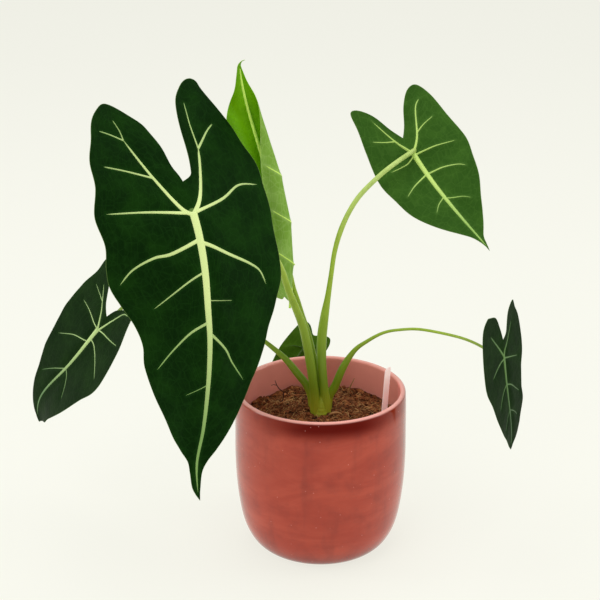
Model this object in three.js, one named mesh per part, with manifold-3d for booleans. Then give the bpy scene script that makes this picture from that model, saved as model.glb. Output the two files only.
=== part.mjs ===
// Potted alocasia: a red glazed pot, its soil, a bare plant label, and six
// leaves. Units mm, +Z up, origin at the centre of the pot's flat underside.
import * as THREE from "three";
import Module from "manifold-3d";

const wasm = await Module();
wasm.setup();

// ---- driving dimensions -------------------------------------------------
const POT_HEIGHT = 138;
const POT_FLOOR = 6;
const POT_SEGMENTS = 44;
const POT_OUTER = [[41, 0], [49, 1.5], [55.3, 5.8], [60.4, 13.2], [64.6, 24], [67.6, 39.5], [69.7, 59],
  [70.6, 82], [70.4, 104], [70.1, 122], [69.6, 134.6], [68.9, 137.2]];
const POT_LIP_TOP = [67.2, POT_HEIGHT];
const POT_INNER = [[65.5, 137.3], [64.9, 134.8], [65.4, 122], [65.8, 104], [65.9, 82], [65, 59], [62.9, 39.5],
  [59.6, 24], [54, 12.5], [44, POT_FLOOR]];
const SOIL_EDGE_Z = 111;
const SOIL_MOUND = 8;
const SOIL_GAP = 0.3;
const FIT_GAP = 0.3;
const BLADE_THICKNESS = 1.0;
const VEIN_GAP = 0.3;
const LABEL = { width: 11, thickness: 1.0, length: 64, bottom: [51.5, 5.5, 89.5], lean: 3.5, turn: 62 };
const STUMP = [[5.5, 94], [9.2, 99], [10.4, 106], [9, 112.5], [8.1, 118], [8.5, 124], [9.3, 129.5],
  [8.2, 133.5]];
const ROOTS = 7;
const ROOT_LENGTH = 42;
const SEED = 7221;

// Flat half outlines in leaf lengths: tip, shoulder, widest part, lobe, sinus.
const A_NEAR = [[0, 1], [0.029, 0.903], [0.062, 0.833], [0.135, 0.73], [0.215, 0.565], [0.244, 0.405],
  [0.321, 0.246], [0.327, 0.081], [0.334, -0.142], [0.321, -0.321], [0.255, -0.432], [0.165, -0.433],
  [0.058, -0.343], [0.02, -0.182], [0, -0.113]];
const A_FAR = [[0, 1], [0.016, 0.901], [0.058, 0.827], [0.119, 0.737], [0.199, 0.562], [0.25, 0.405],
  [0.32, 0.245], [0.329, 0.076], [0.368, -0.15], [0.333, -0.301], [0.27, -0.475], [0.191, -0.455],
  [0.101, -0.354], [0.057, -0.199], [0, -0.113]];
const B_NEAR = [[0, 1], [0.018, 0.92], [0.037, 0.85], [0.087, 0.75], [0.154, 0.58], [0.205, 0.42],
  [0.241, 0.27], [0.256, 0.12], [0.241, 0], [0.21, -0.055], [0.169, -0.09], [0.123, -0.1],
  [0.077, -0.095], [0.031, -0.085], [0, -0.08]];
const B_FAR = [[0, 1], [0.021, 0.92], [0.043, 0.85], [0.101, 0.75], [0.179, 0.58], [0.238, 0.42],
  [0.28, 0.27], [0.298, 0.12], [0.286, -0.02], [0.268, -0.11], [0.214, -0.17], [0.155, -0.165],
  [0.095, -0.14], [0.036, -0.1], [0, -0.08]];
const C_NEAR = [[0, 1], [0.015, 0.915], [0.036, 0.828], [0.098, 0.73], [0.19, 0.57], [0.272, 0.42],
  [0.322, 0.26], [0.358, 0.1], [0.341, -0.127], [0.324, -0.296], [0.276, -0.41], [0.2, -0.405],
  [0.118, -0.315], [0.05, -0.19], [0, -0.12]];
const C_FAR = [[0, 1], [0.011, 0.895], [0.035, 0.802], [0.08, 0.725], [0.188, 0.567], [0.268, 0.42],
  [0.309, 0.26], [0.34, 0.1], [0.316, -0.119], [0.29, -0.281], [0.28, -0.41], [0.205, -0.41],
  [0.112, -0.33], [0.042, -0.2], [0, -0.12]];
const D_NEAR = [[0, 1], [0.036, 0.922], [0.069, 0.843], [0.114, 0.733], [0.184, 0.566], [0.237, 0.418],
  [0.284, 0.268], [0.348, 0.109], [0.339, -0.119], [0.32, -0.288], [0.255, -0.362], [0.203, -0.367],
  [0.1, -0.338], [0.028, -0.228], [0, -0.14]];
const D_FAR = [[0, 1], [0.034, 0.932], [0.088, 0.858], [0.14, 0.73], [0.21, 0.569], [0.217, 0.418],
  [0.243, 0.251], [0.311, 0.103], [0.336, -0.089], [0.315, -0.236], [0.25, -0.335], [0.195, -0.41],
  [0.091, -0.346], [0.056, -0.203], [0, -0.14]];
const E_NEAR = [[0, 1], [0.029, 0.93], [0.058, 0.853], [0.11, 0.735], [0.183, 0.565], [0.24, 0.42],
  [0.29, 0.26], [0.318, 0.1], [0.328, -0.08], [0.31, -0.22], [0.28, -0.33], [0.215, -0.325],
  [0.13, -0.25], [0.055, -0.15], [0, -0.1]];
const E_FAR = [[0, 1], [0.05, 0.91], [0.09, 0.835], [0.15, 0.735], [0.205, 0.575], [0.252, 0.42],
  [0.302, 0.265], [0.357, 0.11], [0.33, -0.09], [0.315, -0.22], [0.27, -0.3], [0.2, -0.29],
  [0.125, -0.235], [0.05, -0.16], [0, -0.1]];
const SMALL = [[0, 1], [0.018, 0.9], [0.043, 0.82], [0.092, 0.72], [0.156, 0.56], [0.199, 0.42],
  [0.234, 0.26], [0.248, 0.1], [0.241, -0.1], [0.227, -0.26], [0.185, -0.38], [0.135, -0.37],
  [0.078, -0.3], [0.028, -0.23], [0, -0.21]];

// Each leaf: midrib length (mm) from stalk to tip, where the stalk joins it,
// heading, dip and roll of the blade (degrees), its bends (radians), its vein
// rows, and its stalk as points with radii, from the crown to the blade.
const LEAVES = [
  { name: "leaf_a", length: 215.4, at: [-95.1, -75, 310.7], heading: -62.6, dip: 48.7, roll: 6.3,
    droop: 1.354, tipCurl: -1.092, back: -0.13, bow: 0.611, bowTip: -0.462,
    fold: [0.116, -0.465], foldRise: [-1.202, 0.051], curl: [0, 0], curlRise: [0, 0], puff: 2.6,
    outline: [A_NEAR, A_FAR], lobeVein: [[0.185, -0.3], [0.143, -0.238]],
    veins: [[[0.607, 3.8, 0.05], [0.78, 4.95, 0.08], [0.894, 5.85, 0.13], [0.985, 7.6, 0]],
      [[0.607, 3.7, 0.09], [0.894, 5.9, 0.11], [0.985, 7.85, 0]]],
    rows: [0, 0.2, 0.47, 0.74, 0.765, 0.89, 1], reach: 0.765,
    stalk: [[-4.3, -2.4, 112, 1.7], [-4.6, -2.8, 126, 2.6], [-6, -4, 142, 3.7], [-9.2, -5, 166, 3.8],
      [-14.4, -9, 193.6, 3.4], [-20, -13, 211.6, 3.1], [-24.4, -16, 224.1, 2.9], [-27.9, -19, 235.6, 2.7],
      [-31.1, -23, 247.4, 2.6], [-37.4, -29, 260.9, 2.6], [-50.5, -37, 274.4, 2.6], [-66.1, -44, 285.1, 2.6],
      [-84, -50, 296, 2.6]] },
  { name: "leaf_b", length: 185.9, at: [-34.4, 31, 228.6], heading: 207.6, dip: -94.9, roll: -134.1,
    twist: -1.462, midribOnly: true, jointReach: 5,
    droop: -0.561, tipCurl: 0.264, back: -0.486, bow: -0.753, bowTip: 0.759,
    fold: [-0.034, -1.535], foldRise: [0.396, 0.053], curl: [11.79, 0.557], curlRise: [22.12, 0.774],
    puff: 0.8,
    outline: [B_NEAR, B_FAR], lobeVein: [[0.12, -0.075], [0.13, -0.12]],
    veins: [[[0.45, 2.9, 0], [0.7, 4.6, 0], [0.93, 6.6, 0]], [[0.45, 2.9, 0], [0.7, 4.6, 0],
      [0.93, 6.6, 0]]],
    rows: [0, 0.17, 0.34, 0.5, 0.66, 0.83, 1], reach: 0.66,
    stalk: [[-0.6, 4.6, 112, 1.3], [-0.8, 5, 127, 1.7], [-3, 8, 150, 2.1], [-9.2, 13, 177.2, 2.2],
      [-15.1, 20, 193.8, 2.1], [-18.6, 24, 204.5, 2], [-22.2, 29, 214, 2], [-25.2, 36, 224.3, 2],
      [-28.8, 41, 229, 2]] },
  { name: "leaf_c", length: 123.5, at: [76, 80, 314.8], heading: -43, dip: 46.1, roll: -145.2,
    jointReach: 5.5,
    droop: 0.788, tipCurl: 0, back: 0.266, bow: 0.066, bowTip: -0.267,
    fold: [-0.154, -0.325], foldRise: [-0.538, 0.34], curl: [0, 0], curlRise: [0, 0], puff: 1.2,
    outline: [C_NEAR, C_FAR], lobeVein: [[0.187, -0.3], [0.187, -0.3]],
    veins: [[[0.66, 3.5, 0.04], [0.87, 5.2, 0.08], [0.97, 7.1, 0.04]], [[0.66, 3.5, 0.04],
      [0.87, 5.2, 0.08], [0.97, 7.1, 0.04]]],
    rows: [0, 0.24, 0.48, 0.7, 0.73, 1], reach: 0.73,
    stalk: [[3.9, -1.6, 112, 1.7], [3.7, -1.6, 126, 2.6], [2.1, -1.2, 142, 3.8], [0.6, 1, 160, 4],
      [0.7, 4, 179, 4.1], [2.7, 8, 196, 3.6], [5.6, 14, 212, 2.5], [8.3, 20, 229, 2], [11.1, 27, 246, 2],
      [15.6, 30, 262, 2.2], [22.4, 34, 277, 2.1], [31.5, 39, 290, 2.1], [45.2, 44, 303, 2],
      [58, 52, 311.5, 2]] },
  { name: "leaf_d", length: 105.9, at: [146.5, -15, 171.6], heading: 12.1, dip: 80.4, roll: 59.7,
    droop: 0.441, tipCurl: 0, back: -0.082, bow: -0.47, bowTip: 0.215,
    fold: [0.272, -0.335], foldRise: [0.022, 0.153], curl: [0, 0], curlRise: [0, 0], puff: 1.0,
    outline: [D_NEAR, D_FAR], lobeVein: [[0.187, -0.28], [0.187, -0.28]],
    veins: [[[0.66, 3.5, 0.04], [0.87, 5.2, 0.08], [0.97, 7.1, 0.04]], [[0.66, 3.5, 0.04],
      [0.87, 5.2, 0.08], [0.97, 7.1, 0.04]]],
    rows: [0, 0.3, 0.68, 0.72, 1], reach: 0.72,
    stalk: [[4.9, 5.2, 112, 1.5], [6.2, 5, 127, 2.2], [11.5, 4, 137, 3.1], [18.4, 3, 155, 2.9],
      [27, 2, 169.5, 2.1], [36, 1, 177.5, 1.6],
      [50, 0, 186, 1.3], [64, -2, 189.6, 1.2], [81, -4, 190.5, 1.2], [108, -6, 185.5, 1.2],
        [124, -6, 179.5, 1.2]] },
  { name: "leaf_e", length: 146.1, at: [-181.6, 10, 185.1], heading: -190.2, dip: 52.7, roll: -71.5,
    veinGap: 0.6,
    droop: 0.708, tipCurl: 0, back: 0.053, bow: 0.51, bowTip: -0.811,
    fold: [-0.487, 0.694], foldRise: [0.281, -0.286], curl: [0, 0], curlRise: [0, 0], puff: 1.6,
    outline: [E_NEAR, E_FAR], lobeVein: [[0.187, -0.26], [0.187, -0.24]],
    veins: [[[0.66, 3.5, 0.04], [0.87, 5.2, 0.08], [0.97, 7.1, 0.04]], [[0.66, 3.5, 0.04],
      [0.87, 5.2, 0.08], [0.97, 7.1, 0.04]]],
    rows: [0, 0.24, 0.48, 0.7, 0.73, 1], reach: 0.73,
    stalk: [[-5.6, 4.4, 112, 1.4], [-7, 5, 127, 2.1], [-11.5, 6, 137.5, 2.7], [-19, 8, 147, 2.6],
      [-28, 10, 158, 2.2], [-38, 12, 167, 1.9],
      [-52, 15, 177, 1.7], [-78, 20, 191, 1.6], [-110, 26, 201, 1.5], [-140, 31, 203, 1.5],
        [-160, 34, 198, 1.5]] },
  { name: "leaf_f", length: 73, at: [-13, 92.3, 136], heading: 222, dip: 38.9, roll: 139,
    droop: -0.14, tipCurl: 0.2, back: -2.2, bow: 0, bowTip: 0,
    fold: [0.12, 0.1], foldRise: [0, 0], curl: [0.3, 0.3], curlRise: [0, 0], puff: 0.8,
    outline: [SMALL, SMALL], lobeVein: [[0.12, -0.27], [0.12, -0.27]],
    veins: [[[0.66, 3.5, 0.04], [0.87, 5.2, 0.08], [0.97, 7.1, 0.04]], [[0.66, 3.5, 0.04],
      [0.87, 5.2, 0.08], [0.97, 7.1, 0.04]]],
    rows: [0, 0.3, 0.66, 0.71, 1], reach: 0.71,
    stalk: [[0.6, 9.4, 112, 1.2], [0.2, 10.5, 126, 1.4], [-1.5, 17, 137, 1.5], [-4.5, 31, 147, 1.4],
      [-8, 49, 152.5, 1.3], [-10.5, 66, 151, 1.2], [-12, 76, 144, 1.2]] },
];

// ---- small helpers --------------------------------------------------------
const rad = (deg) => (deg * Math.PI) / 180;
const add = (a, b, k = 1) => [a[0] + b[0] * k, a[1] + b[1] * k, a[2] + b[2] * k];
const cross = (a, b) => [a[1] * b[2] - a[2] * b[1], a[2] * b[0] - a[0] * b[2], a[0] * b[1] - a[1] * b[0]];
const dot = (a, b) => a[0] * b[0] + a[1] * b[1] + a[2] * b[2];
const unit = (a) => { const l = Math.hypot(...a); return a.map((v) => v / l); };

/** Repeatable random numbers in 0..1. */
function seeded(seed) {
  let s = seed >>> 0;
  return () => {
    s = (s + 0x6d2b79f5) >>> 0;
    let t = s;
    t = Math.imul(t ^ (t >>> 15), t | 1);
    t ^= t + Math.imul(t ^ (t >>> 7), t | 61);
    return ((t ^ (t >>> 14)) >>> 0) / 4294967296;
  };
}

/** Catmull-Rom through rows of numbers, by index. */
function through(points, s) {
  const n = points.length - 1;
  const c = Math.min(Math.max(s, 0), n - 1e-9);
  const i = Math.floor(c), f = c - i;
  const p0 = points[Math.max(i - 1, 0)], p1 = points[i], p2 = points[i + 1], p3 = points[Math.min(i + 2, n)];
  return p1.map((v, k) => 0.5 * (2 * v + (p2[k] - p0[k]) * f + (2 * p0[k] - 5 * v + 4 * p2[k] - p3[k]) * f * f
    + (3 * v - p0[k] - 3 * p2[k] + p3[k]) * f * f * f));
}

const toManifold = (mesh) => new wasm.Manifold(new wasm.Mesh({
  numProp: 3,
  vertProperties: Float32Array.from(mesh.points.flat()),
  triVerts: Uint32Array.from(mesh.faces.flat()),
}));

function toGeometry(mesh) {
  const g = new THREE.BufferGeometry();
  g.setAttribute("position", new THREE.BufferAttribute(Float32Array.from(mesh.points.flat()), 3));
  g.setIndex(mesh.faces.flat());
  g.computeVertexNormals();
  return g;
}

function fromManifold(solid) {
  const m = solid.getMesh();
  const g = new THREE.BufferGeometry();
  const pos = new Float32Array(m.numVert * 3);
  for (let i = 0; i < m.numVert; i += 1) {
    for (let k = 0; k < 3; k += 1) pos[3 * i + k] = m.vertProperties[m.numProp * i + k];
  }
  g.setAttribute("position", new THREE.BufferAttribute(pos, 3));
  g.setIndex(Array.from(m.triVerts));
  g.computeVertexNormals();
  return g;
}

// ---- leaf surface -----------------------------------------------------------
const STEPS = 24;
const CREASE = 0.06;

/** Tip direction, sideways direction and upper-face normal of a blade. */
function axesOf(leaf) {
  const az = rad(leaf.heading), dip = rad(leaf.dip), roll = rad(leaf.roll);
  const a = [Math.cos(az) * Math.cos(dip), Math.sin(az) * Math.cos(dip), -Math.sin(dip)];
  const n0 = [Math.cos(az) * Math.sin(dip), Math.sin(az) * Math.sin(dip), Math.cos(dip)];
  const b0 = cross(a, n0);
  const n = n0.map((v, k) => v * Math.cos(roll) + b0[k] * Math.sin(roll));
  return { a, b: cross(a, n), n };
}

/** Point of a bent blade at flat (x, y) in leaf lengths, h mm above its middle. */
function surface(leaf, x, y, h) {
  const ax = leaf.axes ?? (leaf.axes = axesOf(leaf));
  const L = leaf.length;
  const side = x > 0 ? 0 : 1;
  const w = Math.abs(x), sign = Math.sign(x);
  const pitch = (v) => (v > 0 ? leaf.droop * v + leaf.tipCurl * v ** 3 : leaf.back * v);
  const yaw = (v) => leaf.bow * v + (v > 0 ? leaf.bowTip * v ** 3 : 0);
  let ca = 0, cb = 0, cn = 0, lat = 0, rise = 0;
  const fold = leaf.fold[side] + leaf.foldRise[side] * y;
  const curl = leaf.curl[side] + leaf.curlRise[side] * Math.max(y, -0.2);
  for (let i = 0; i < STEPS; i += 1) {
    const m = (i + 0.5) / STEPS;
    ca += Math.cos(pitch(y * m)) * Math.cos(yaw(y * m));
    cb += Math.cos(pitch(y * m)) * Math.sin(yaw(y * m));
    cn -= Math.sin(pitch(y * m));
    const slope = fold * Math.min((w * m) / CREASE, 1) + curl * w * m;
    lat += Math.cos(slope);
    rise += Math.sin(slope);
  }
  const k = (y * L) / STEPS, kw = (w * L) / STEPS;
  const end = fold * Math.min(w / CREASE, 1) + curl * w;
  const lat0 = lat * kw * sign - sign * Math.sin(end) * h, rise0 = rise * kw + Math.cos(end) * h;
  const turn = (leaf.twist ?? 0) * y;
  lat = lat0 * Math.cos(turn) - rise0 * Math.sin(turn);
  rise = lat0 * Math.sin(turn) + rise0 * Math.cos(turn);
  const P = pitch(y), Y = yaw(y);
  const A = ca * k - lat * Math.sin(Y) + rise * Math.sin(P) * Math.cos(Y);
  const B = cb * k + lat * Math.cos(Y) + rise * Math.sin(P) * Math.sin(Y);
  const N = cn * k + rise * Math.cos(P);
  return leaf.at.map((v, i) => v + A * ax.a[i] + B * ax.b[i] + N * ax.n[i]);
}

/** Half width of the midrib (leaf lengths) at flat height y. */
const midribHalf = (y) => 0.0045 + 0.0105 * (1 - Math.min(Math.max(y, 0), 1)) ** 1.6;

/** Skeleton of one half: tip to stalk (0..1), out along the lobe vein (1..2.5), back (2.5..4), sinus (5). */
class Half {
  constructor(leaf, side) {
    this.leaf = leaf;
    this.side = side;
    this.sign = side === 0 ? 1 : -1;
    this.outline = leaf.outline[side];
    const [ex, ey] = leaf.lobeVein[side];
    this.fork = [ex, ey];
    const lobe = this.outline[10];
    this.end = [ex + 0.5 * (lobe[0] - ex), ey + 0.5 * (lobe[1] - ey)];
    const l = Math.hypot(ex, ey);
    this.lobeDir = [ex / l, ey / l];
    this.sinus = this.outline[14][1];
    this.start = leaf.length > 200 ? 0.055 : 0.12;
    this.crotch = Math.min(...leaf.lobeVein.map(([x, y]) => x / Math.hypot(x, y)));
  }

  /** Half width of the slot (gap > 0) or the rib (gap = 0) along the skeleton, leaf lengths. */
  half(q, gap) {
    if (q < this.start + 0.01) return 0;
    if (q <= 1) return midribHalf(1 - q) + gap;
    if (Math.abs(q - 2.5) < 0.01) return 0;
    const d = q < 2.5 ? q - 1 : 4 - q;
    return 0.0078 - 0.0024 * Math.min(d, 1.5) + gap;
  }

  /** Point on the skeleton's edge. */
  edge(q, gap) {
    const h = this.half(q, gap);
    if (q <= 1) {
      const y = q > 0.995 ? this.corner(gap) : 1 - q;
      return [h, y];
    }
    const [dx, dy] = this.lobeDir;
    if (q >= 4) {
      const y0 = -(0.0078 + gap) / this.crotch;
      return [0, y0 + (this.sinus - y0) * (q - 4)];
    }
    const u = q < 2.5 ? q - 1 : 4 - q;
    const s = q < 2.5 ? 1 : -1;
    const E = this.fork, G = this.end;
    if (u <= 1) return [E[0] * u - s * dy * h, E[1] * u + s * dx * h];
    const f = (u - 1) / 0.5, gl = Math.hypot(G[0] - E[0], G[1] - E[1]);
    const gx = (G[0] - E[0]) / gl, gy = (G[1] - E[1]) / gl;
    const nx = -dy * (1 - f) - gy * f, ny = dx * (1 - f) + gx * f;
    return [E[0] + (G[0] - E[0]) * f + s * nx * h, E[1] + (G[1] - E[1]) * f + s * ny * h];
  }

  /** Height of the corner between the midrib's edge and the lobe vein's edge. */
  corner(gap) {
    const [dx, dy] = this.lobeDir;
    return ((0.0078 + gap) + dy * (midribHalf(0) + gap)) / dx;
  }

  /** Columns from tip to sinus: skeleton place, margin place, arch, and which are the two sides of a vein. */
  columns() {
    const veins = this.leaf.veins[this.side];
    const a = this.start, b = a + 0.035;
    const list = [{ q: 0, s: 0, arch: 0 }, { q: a, s: a * 7.5, arch: 0 }, { q: b, s: b * 7.5, arch: 0 }];
    let last = { q: b, s: b * 7.5, arch: 0 };
    const between = (a, b, n) => {
      for (let i = 1; i <= n; i += 1) {
        const f = i / (n + 1);
        list.push({ q: a.q + (b.q - a.q) * f, s: a.s + (b.s - a.s) * f, arch: a.arch + (b.arch - a.arch) * f,
          puff: 1 - Math.abs(2 * f - 1) * 0.6, t: f });
      }
    };
    for (const [q, s, arch] of veins) {
      const v = { q, s, arch };
      between(last, v, s - last.s > 1.4 ? 2 : 1);
      if (this.leaf.midribOnly) list.push(v);
      else list.push({ ...v, pair: -1 }, { ...v, pair: 1 });
      last = v;
    }
    const tail = [{ q: 1.45, s: 8.5, arch: 0, pair: true }, { q: 1.92, s: 9.2, arch: 0, pair: true }];
    for (const v of tail) {
      if (last.q < 1 && v.q > 1) {
        list.push({ q: 1, s: last.s + 0.25, arch: 0 });
        between({ q: 1, s: last.s + 0.25, arch: 0 }, v, 1);
      } else between(last, v, 1);
      list.push({ ...v, pair: -1 }, { ...v, pair: 1 });
      last = v;
    }
    list.push({ q: 2.38, s: 9.8, arch: 0 }, { q: 2.5, s: 10.15, arch: 0 }, { q: 2.62, s: 10.7, arch: 0 });
    list.push({ q: 3, s: 11.4, arch: 0 }, { q: 3.5, s: 12.3, arch: 0, puff: 0.5 }, { q: 4, s: 13.1, arch: 0 },
      { q: 4.55, s: 13.6, arch: 0 }, { q: 5, s: 14, arch: 0 });
    return list;
  }

  /** Flat point of a column at row t; gap widens slots, a pair's two sides spread about its vein. */
  point(col, t, gap) {
    const K = this.edge(col.q, gap);
    const M = through(this.outline, col.s);
    const dx = M[0] - K[0], dy = M[1] - K[1];
    const arch = col.arch * 4 * t * (1 - t);
    let p = [K[0] + dx * t + dy * arch, K[1] + dy * t - dx * arch];
    if (col.pair) {
      const reach = this.leaf.reach;
      const l = Math.hypot(dx, dy);
      let w = t >= reach - 1e-6 ? 0 : 0.0058 * (1 - t / reach) ** 0.7 + 0.0016 + gap;
      let nx, ny;
      if (t === 0) {
        [nx, ny] = col.q <= 1 ? [0, -1] : this.lobeDir;
        const leave = nx * (dx + dy * 4 * col.arch) + ny * (dy - dx * 4 * col.arch);
        const lean = Math.max(-0.9, Math.min(0.9, (col.pair * leave) / l));
        w += gap * ((1 + lean) / Math.sqrt(1 - lean * lean) - 1);
      } else {
        const k = col.arch * 4 * (1 - 2 * t);
        const tx = dx / l + (dy / l) * k, ty = dy / l - (dx / l) * k, tl = Math.hypot(tx, ty);
        [nx, ny] = [ty / tl, -tx / tl];
      }
      p = [p[0] + nx * w * col.pair, p[1] + ny * w * col.pair];
    }
    return [p[0] * this.sign, p[1]];
  }
}

/** Collects flat points and faces, then thickens them into one closed solid. */
class Slab {
  constructor(leaf) {
    this.leaf = leaf;
    this.keys = new Map();
    this.flat = [];
    this.faces = [];
  }

  vertex(p, up, down) {
    const key = `${Math.round(p[0] * 1e5) || 0},${Math.round(p[1] * 1e5) || 0}`;
    if (!this.keys.has(key)) {
      this.keys.set(key, this.flat.length);
      this.flat.push([p[0], p[1], up, down]);
    }
    return this.keys.get(key);
  }

  face(a, b, c) {
    if (a === b || b === c || a === c) return;
    const [p, q, r] = [this.flat[a], this.flat[b], this.flat[c]];
    const area = (q[0] - p[0]) * (r[1] - p[1]) - (q[1] - p[1]) * (r[0] - p[0]);
    if (Math.abs(area) < 1e-9) return;
    this.faces.push(area > 0 ? [a, b, c] : [a, c, b]);
  }

  solid() {
    const n = this.flat.length;
    const points = [];
    for (const [x, y, up] of this.flat) points.push(surface(this.leaf, x, y, up));
    for (const [x, y, , down] of this.flat) points.push(surface(this.leaf, x, y, down));
    const edges = new Map();
    const faces = [];
    for (const f of this.faces) {
      faces.push([f[0], f[1], f[2]], [f[0] + n, f[2] + n, f[1] + n]);
      for (let i = 0; i < 3; i += 1) {
        const a = f[i], b = f[(i + 1) % 3];
        if (edges.has(`${b},${a}`)) edges.delete(`${b},${a}`);
        else edges.set(`${a},${b}`, [a, b]);
      }
    }
    for (const [a, b] of edges.values()) faces.push([a, b + n, b], [a, a + n, b + n]);
    return { points, faces };
  }
}

/** Blade of one leaf, slotted for its veins. */
function bladeOf(leaf) {
  const slab = new Slab(leaf);
  const gap = (leaf.veinGap ?? VEIN_GAP) / leaf.length;
  const half = BLADE_THICKNESS / 2;
  for (const side of [0, 1]) {
    const h = new Half(leaf, side);
    const cols = h.columns();
    const ids = cols.map((c) => leaf.rows.map((t) => {
      const p = h.point(c, t, gap);
      const lift = leaf.puff * (c.puff ?? 0) * t ** 1.5;
      return slab.vertex(p, lift + half, lift - half);
    }));
    for (let j = 0; j + 1 < cols.length; j += 1) {
      const slot = cols[j].pair === -1 && cols[j + 1].pair === 1;
      for (let i = 0; i + 1 < leaf.rows.length; i += 1) {
        if (slot && leaf.rows[i] < leaf.reach - 1e-6) continue;
        const [a, b, c, d] = [ids[j][i], ids[j + 1][i], ids[j + 1][i + 1], ids[j][i + 1]];
        slab.face(a, b, c);
        slab.face(a, c, d);
      }
    }
  }
  return slab.solid();
}

const leafStart = (leaf) => (leaf.length > 200 ? 0.08 : 0.15);

/** The raised veins of one leaf as one body. */
function ribsOf(leaf) {
  const slab = new Slab(leaf);
  const up = (p) => 0.5 + 0.35 * (1 - Math.min(Math.hypot(p[0], p[1]) / 0.9, 1)) + 0.1;
  const down = (p) => -0.9 - (0.5 + leaf.length * 0.012) * Math.exp(-((Math.hypot(p[0], p[1]) / 0.16) ** 2))
    - 0.6 * (1 - Math.min(Math.abs(p[1]), 1)) * Math.exp(-((p[0] / 0.02) ** 2));
  const put = (p) => slab.vertex(p, up(p), down(p));
  const strip = (left, right) => {
    const apart = (a, b) => Math.hypot(slab.flat[a][0] - slab.flat[b][0], slab.flat[a][1] - slab.flat[b][1]);
    let i = 0, j = 0;
    while (i + 1 < left.length || j + 1 < right.length) {
      const li = i + 1 < left.length ? apart(left[i + 1], right[j]) : 1e9;
      const lj = j + 1 < right.length ? apart(left[i], right[j + 1]) : 1e9;
      if (li <= lj) { slab.face(left[i], left[i + 1], right[j]); i += 1; }
      else { slab.face(left[i], right[j + 1], right[j]); j += 1; }
    }
  };
  const mid = [], corners = [];
  let crotch = 0;
  for (const side of [0, 1]) {
    const h = new Half(leaf, side);
    const cols = h.columns();
    const rows = leaf.rows.filter((t) => t < leaf.reach - 1e-6);
    const ids = cols.map((c) => put(h.point(c, 0, 0)));
    cols.forEach((c, j) => {
      if (!(c.pair === -1 && cols[j + 1].pair === 1)) return;
      let [a, b] = [ids[j], ids[j + 1]];
      for (const t of rows.slice(1)) {
        const [c2, d2] = [put(h.point(cols[j], t, 0)), put(h.point(cols[j + 1], t, 0))];
        slab.face(a, b, d2);
        slab.face(a, d2, c2);
        [a, b] = [c2, d2];
      }
    });
    const along = (lo, hi) => ids.filter((_, j) => cols[j].q >= lo && cols[j].q <= hi);
    const outer = along(1, 2.45);
    const inner = along(2.55, 4).reverse();
    mid.push(along(leafStart(leaf), 1));
    corners.push(outer[0]);
    crotch = inner[0];
    strip(outer, inner);
  }
  strip(mid[0], mid[1]);
  slab.face(corners[0], corners[1], crotch);
  return slab.solid();
}

/** Round tube through points with radii. */
function tube(path, sides, steps) {
  const points = [], faces = [];
  const n = Math.round((path.length - 1) * steps);
  const at = (k) => through(path, (k / n) * (path.length - 1));
  let normal = null;
  for (let k = 0; k <= n; k += 1) {
    const p = at(k), e = 0.02;
    const s = (k / n) * (path.length - 1);
    const f = through(path, Math.min(s + e, path.length - 1)), g = through(path, Math.max(s - e, 0));
    const dir = unit([f[0] - g[0], f[1] - g[1], f[2] - g[2]]);
    if (!normal) normal = unit(cross(dir, [0.31, 0.95, 0.02]));
    normal = unit(add(normal, dir, -dot(normal, dir)));
    const other = cross(dir, normal);
    for (let i = 0; i < sides; i += 1) {
      const a = (2 * Math.PI * i) / sides;
      points.push(p.slice(0, 3).map((v, m) => v + p[3] * (Math.cos(a) * normal[m] + Math.sin(a) * other[m])));
    }
  }
  for (let k = 0; k < n; k += 1) {
    for (let i = 0; i < sides; i += 1) {
      const a = k * sides + i, b = k * sides + ((i + 1) % sides);
      faces.push([a, b, b + sides], [a, b + sides, a + sides]);
    }
  }
  for (let i = 1; i + 1 < sides; i += 1) {
    faces.push([0, i + 1, i]);
    faces.push([n * sides, n * sides + i, n * sides + i + 1]);
  }
  return { points, faces };
}

/** Stalk path, ending square on the blade's back where the veins meet. */
function stalkPath(leaf, grow) {
  const { n } = leaf.axes ?? (leaf.axes = axesOf(leaf));
  const top = leaf.stalk[leaf.stalk.length - 1][3];
  const far = leaf.jointReach ?? (leaf.length > 200 ? 16 : 10);
  const tip = top * Math.abs(Math.sin(Math.min(leaf.fold[0], leaf.fold[1], 0))) + 1.0;
  const path = leaf.stalk.map(([x, y, z, r], i) => [x, y, i ? z : z - grow, r + grow]);
  path.push([...add(leaf.at, n, -far), top + grow]);
  path.push([...add(leaf.at, n, -tip), top * 0.92 + grow]);
  return path;
}

// ---- pieces -------------------------------------------------------------------
function lathe(profile, segments) {
  const points = [], faces = [];
  const n = profile.length;
  const rings = profile.map(([r, z]) => {
    if (r < 1e-6) { points.push([0, 0, z]); return [points.length - 1]; }
    const ids = [];
    for (let i = 0; i < segments; i += 1) {
      const a = (2 * Math.PI * i) / segments;
      points.push([r * Math.cos(a), r * Math.sin(a), z]);
      ids.push(points.length - 1);
    }
    return ids;
  });
  for (let k = 0; k + 1 < n; k += 1) {
    const [a, b] = [rings[k], rings[k + 1]];
    for (let i = 0; i < segments; i += 1) {
      const j = (i + 1) % segments;
      if (a.length === 1) faces.push([a[0], b[j], b[i]]);
      else if (b.length === 1) faces.push([a[i], a[j], b[0]]);
      else faces.push([a[i], a[j], b[j]], [a[i], b[j], b[i]]);
    }
  }
  return { points, faces };
}

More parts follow.
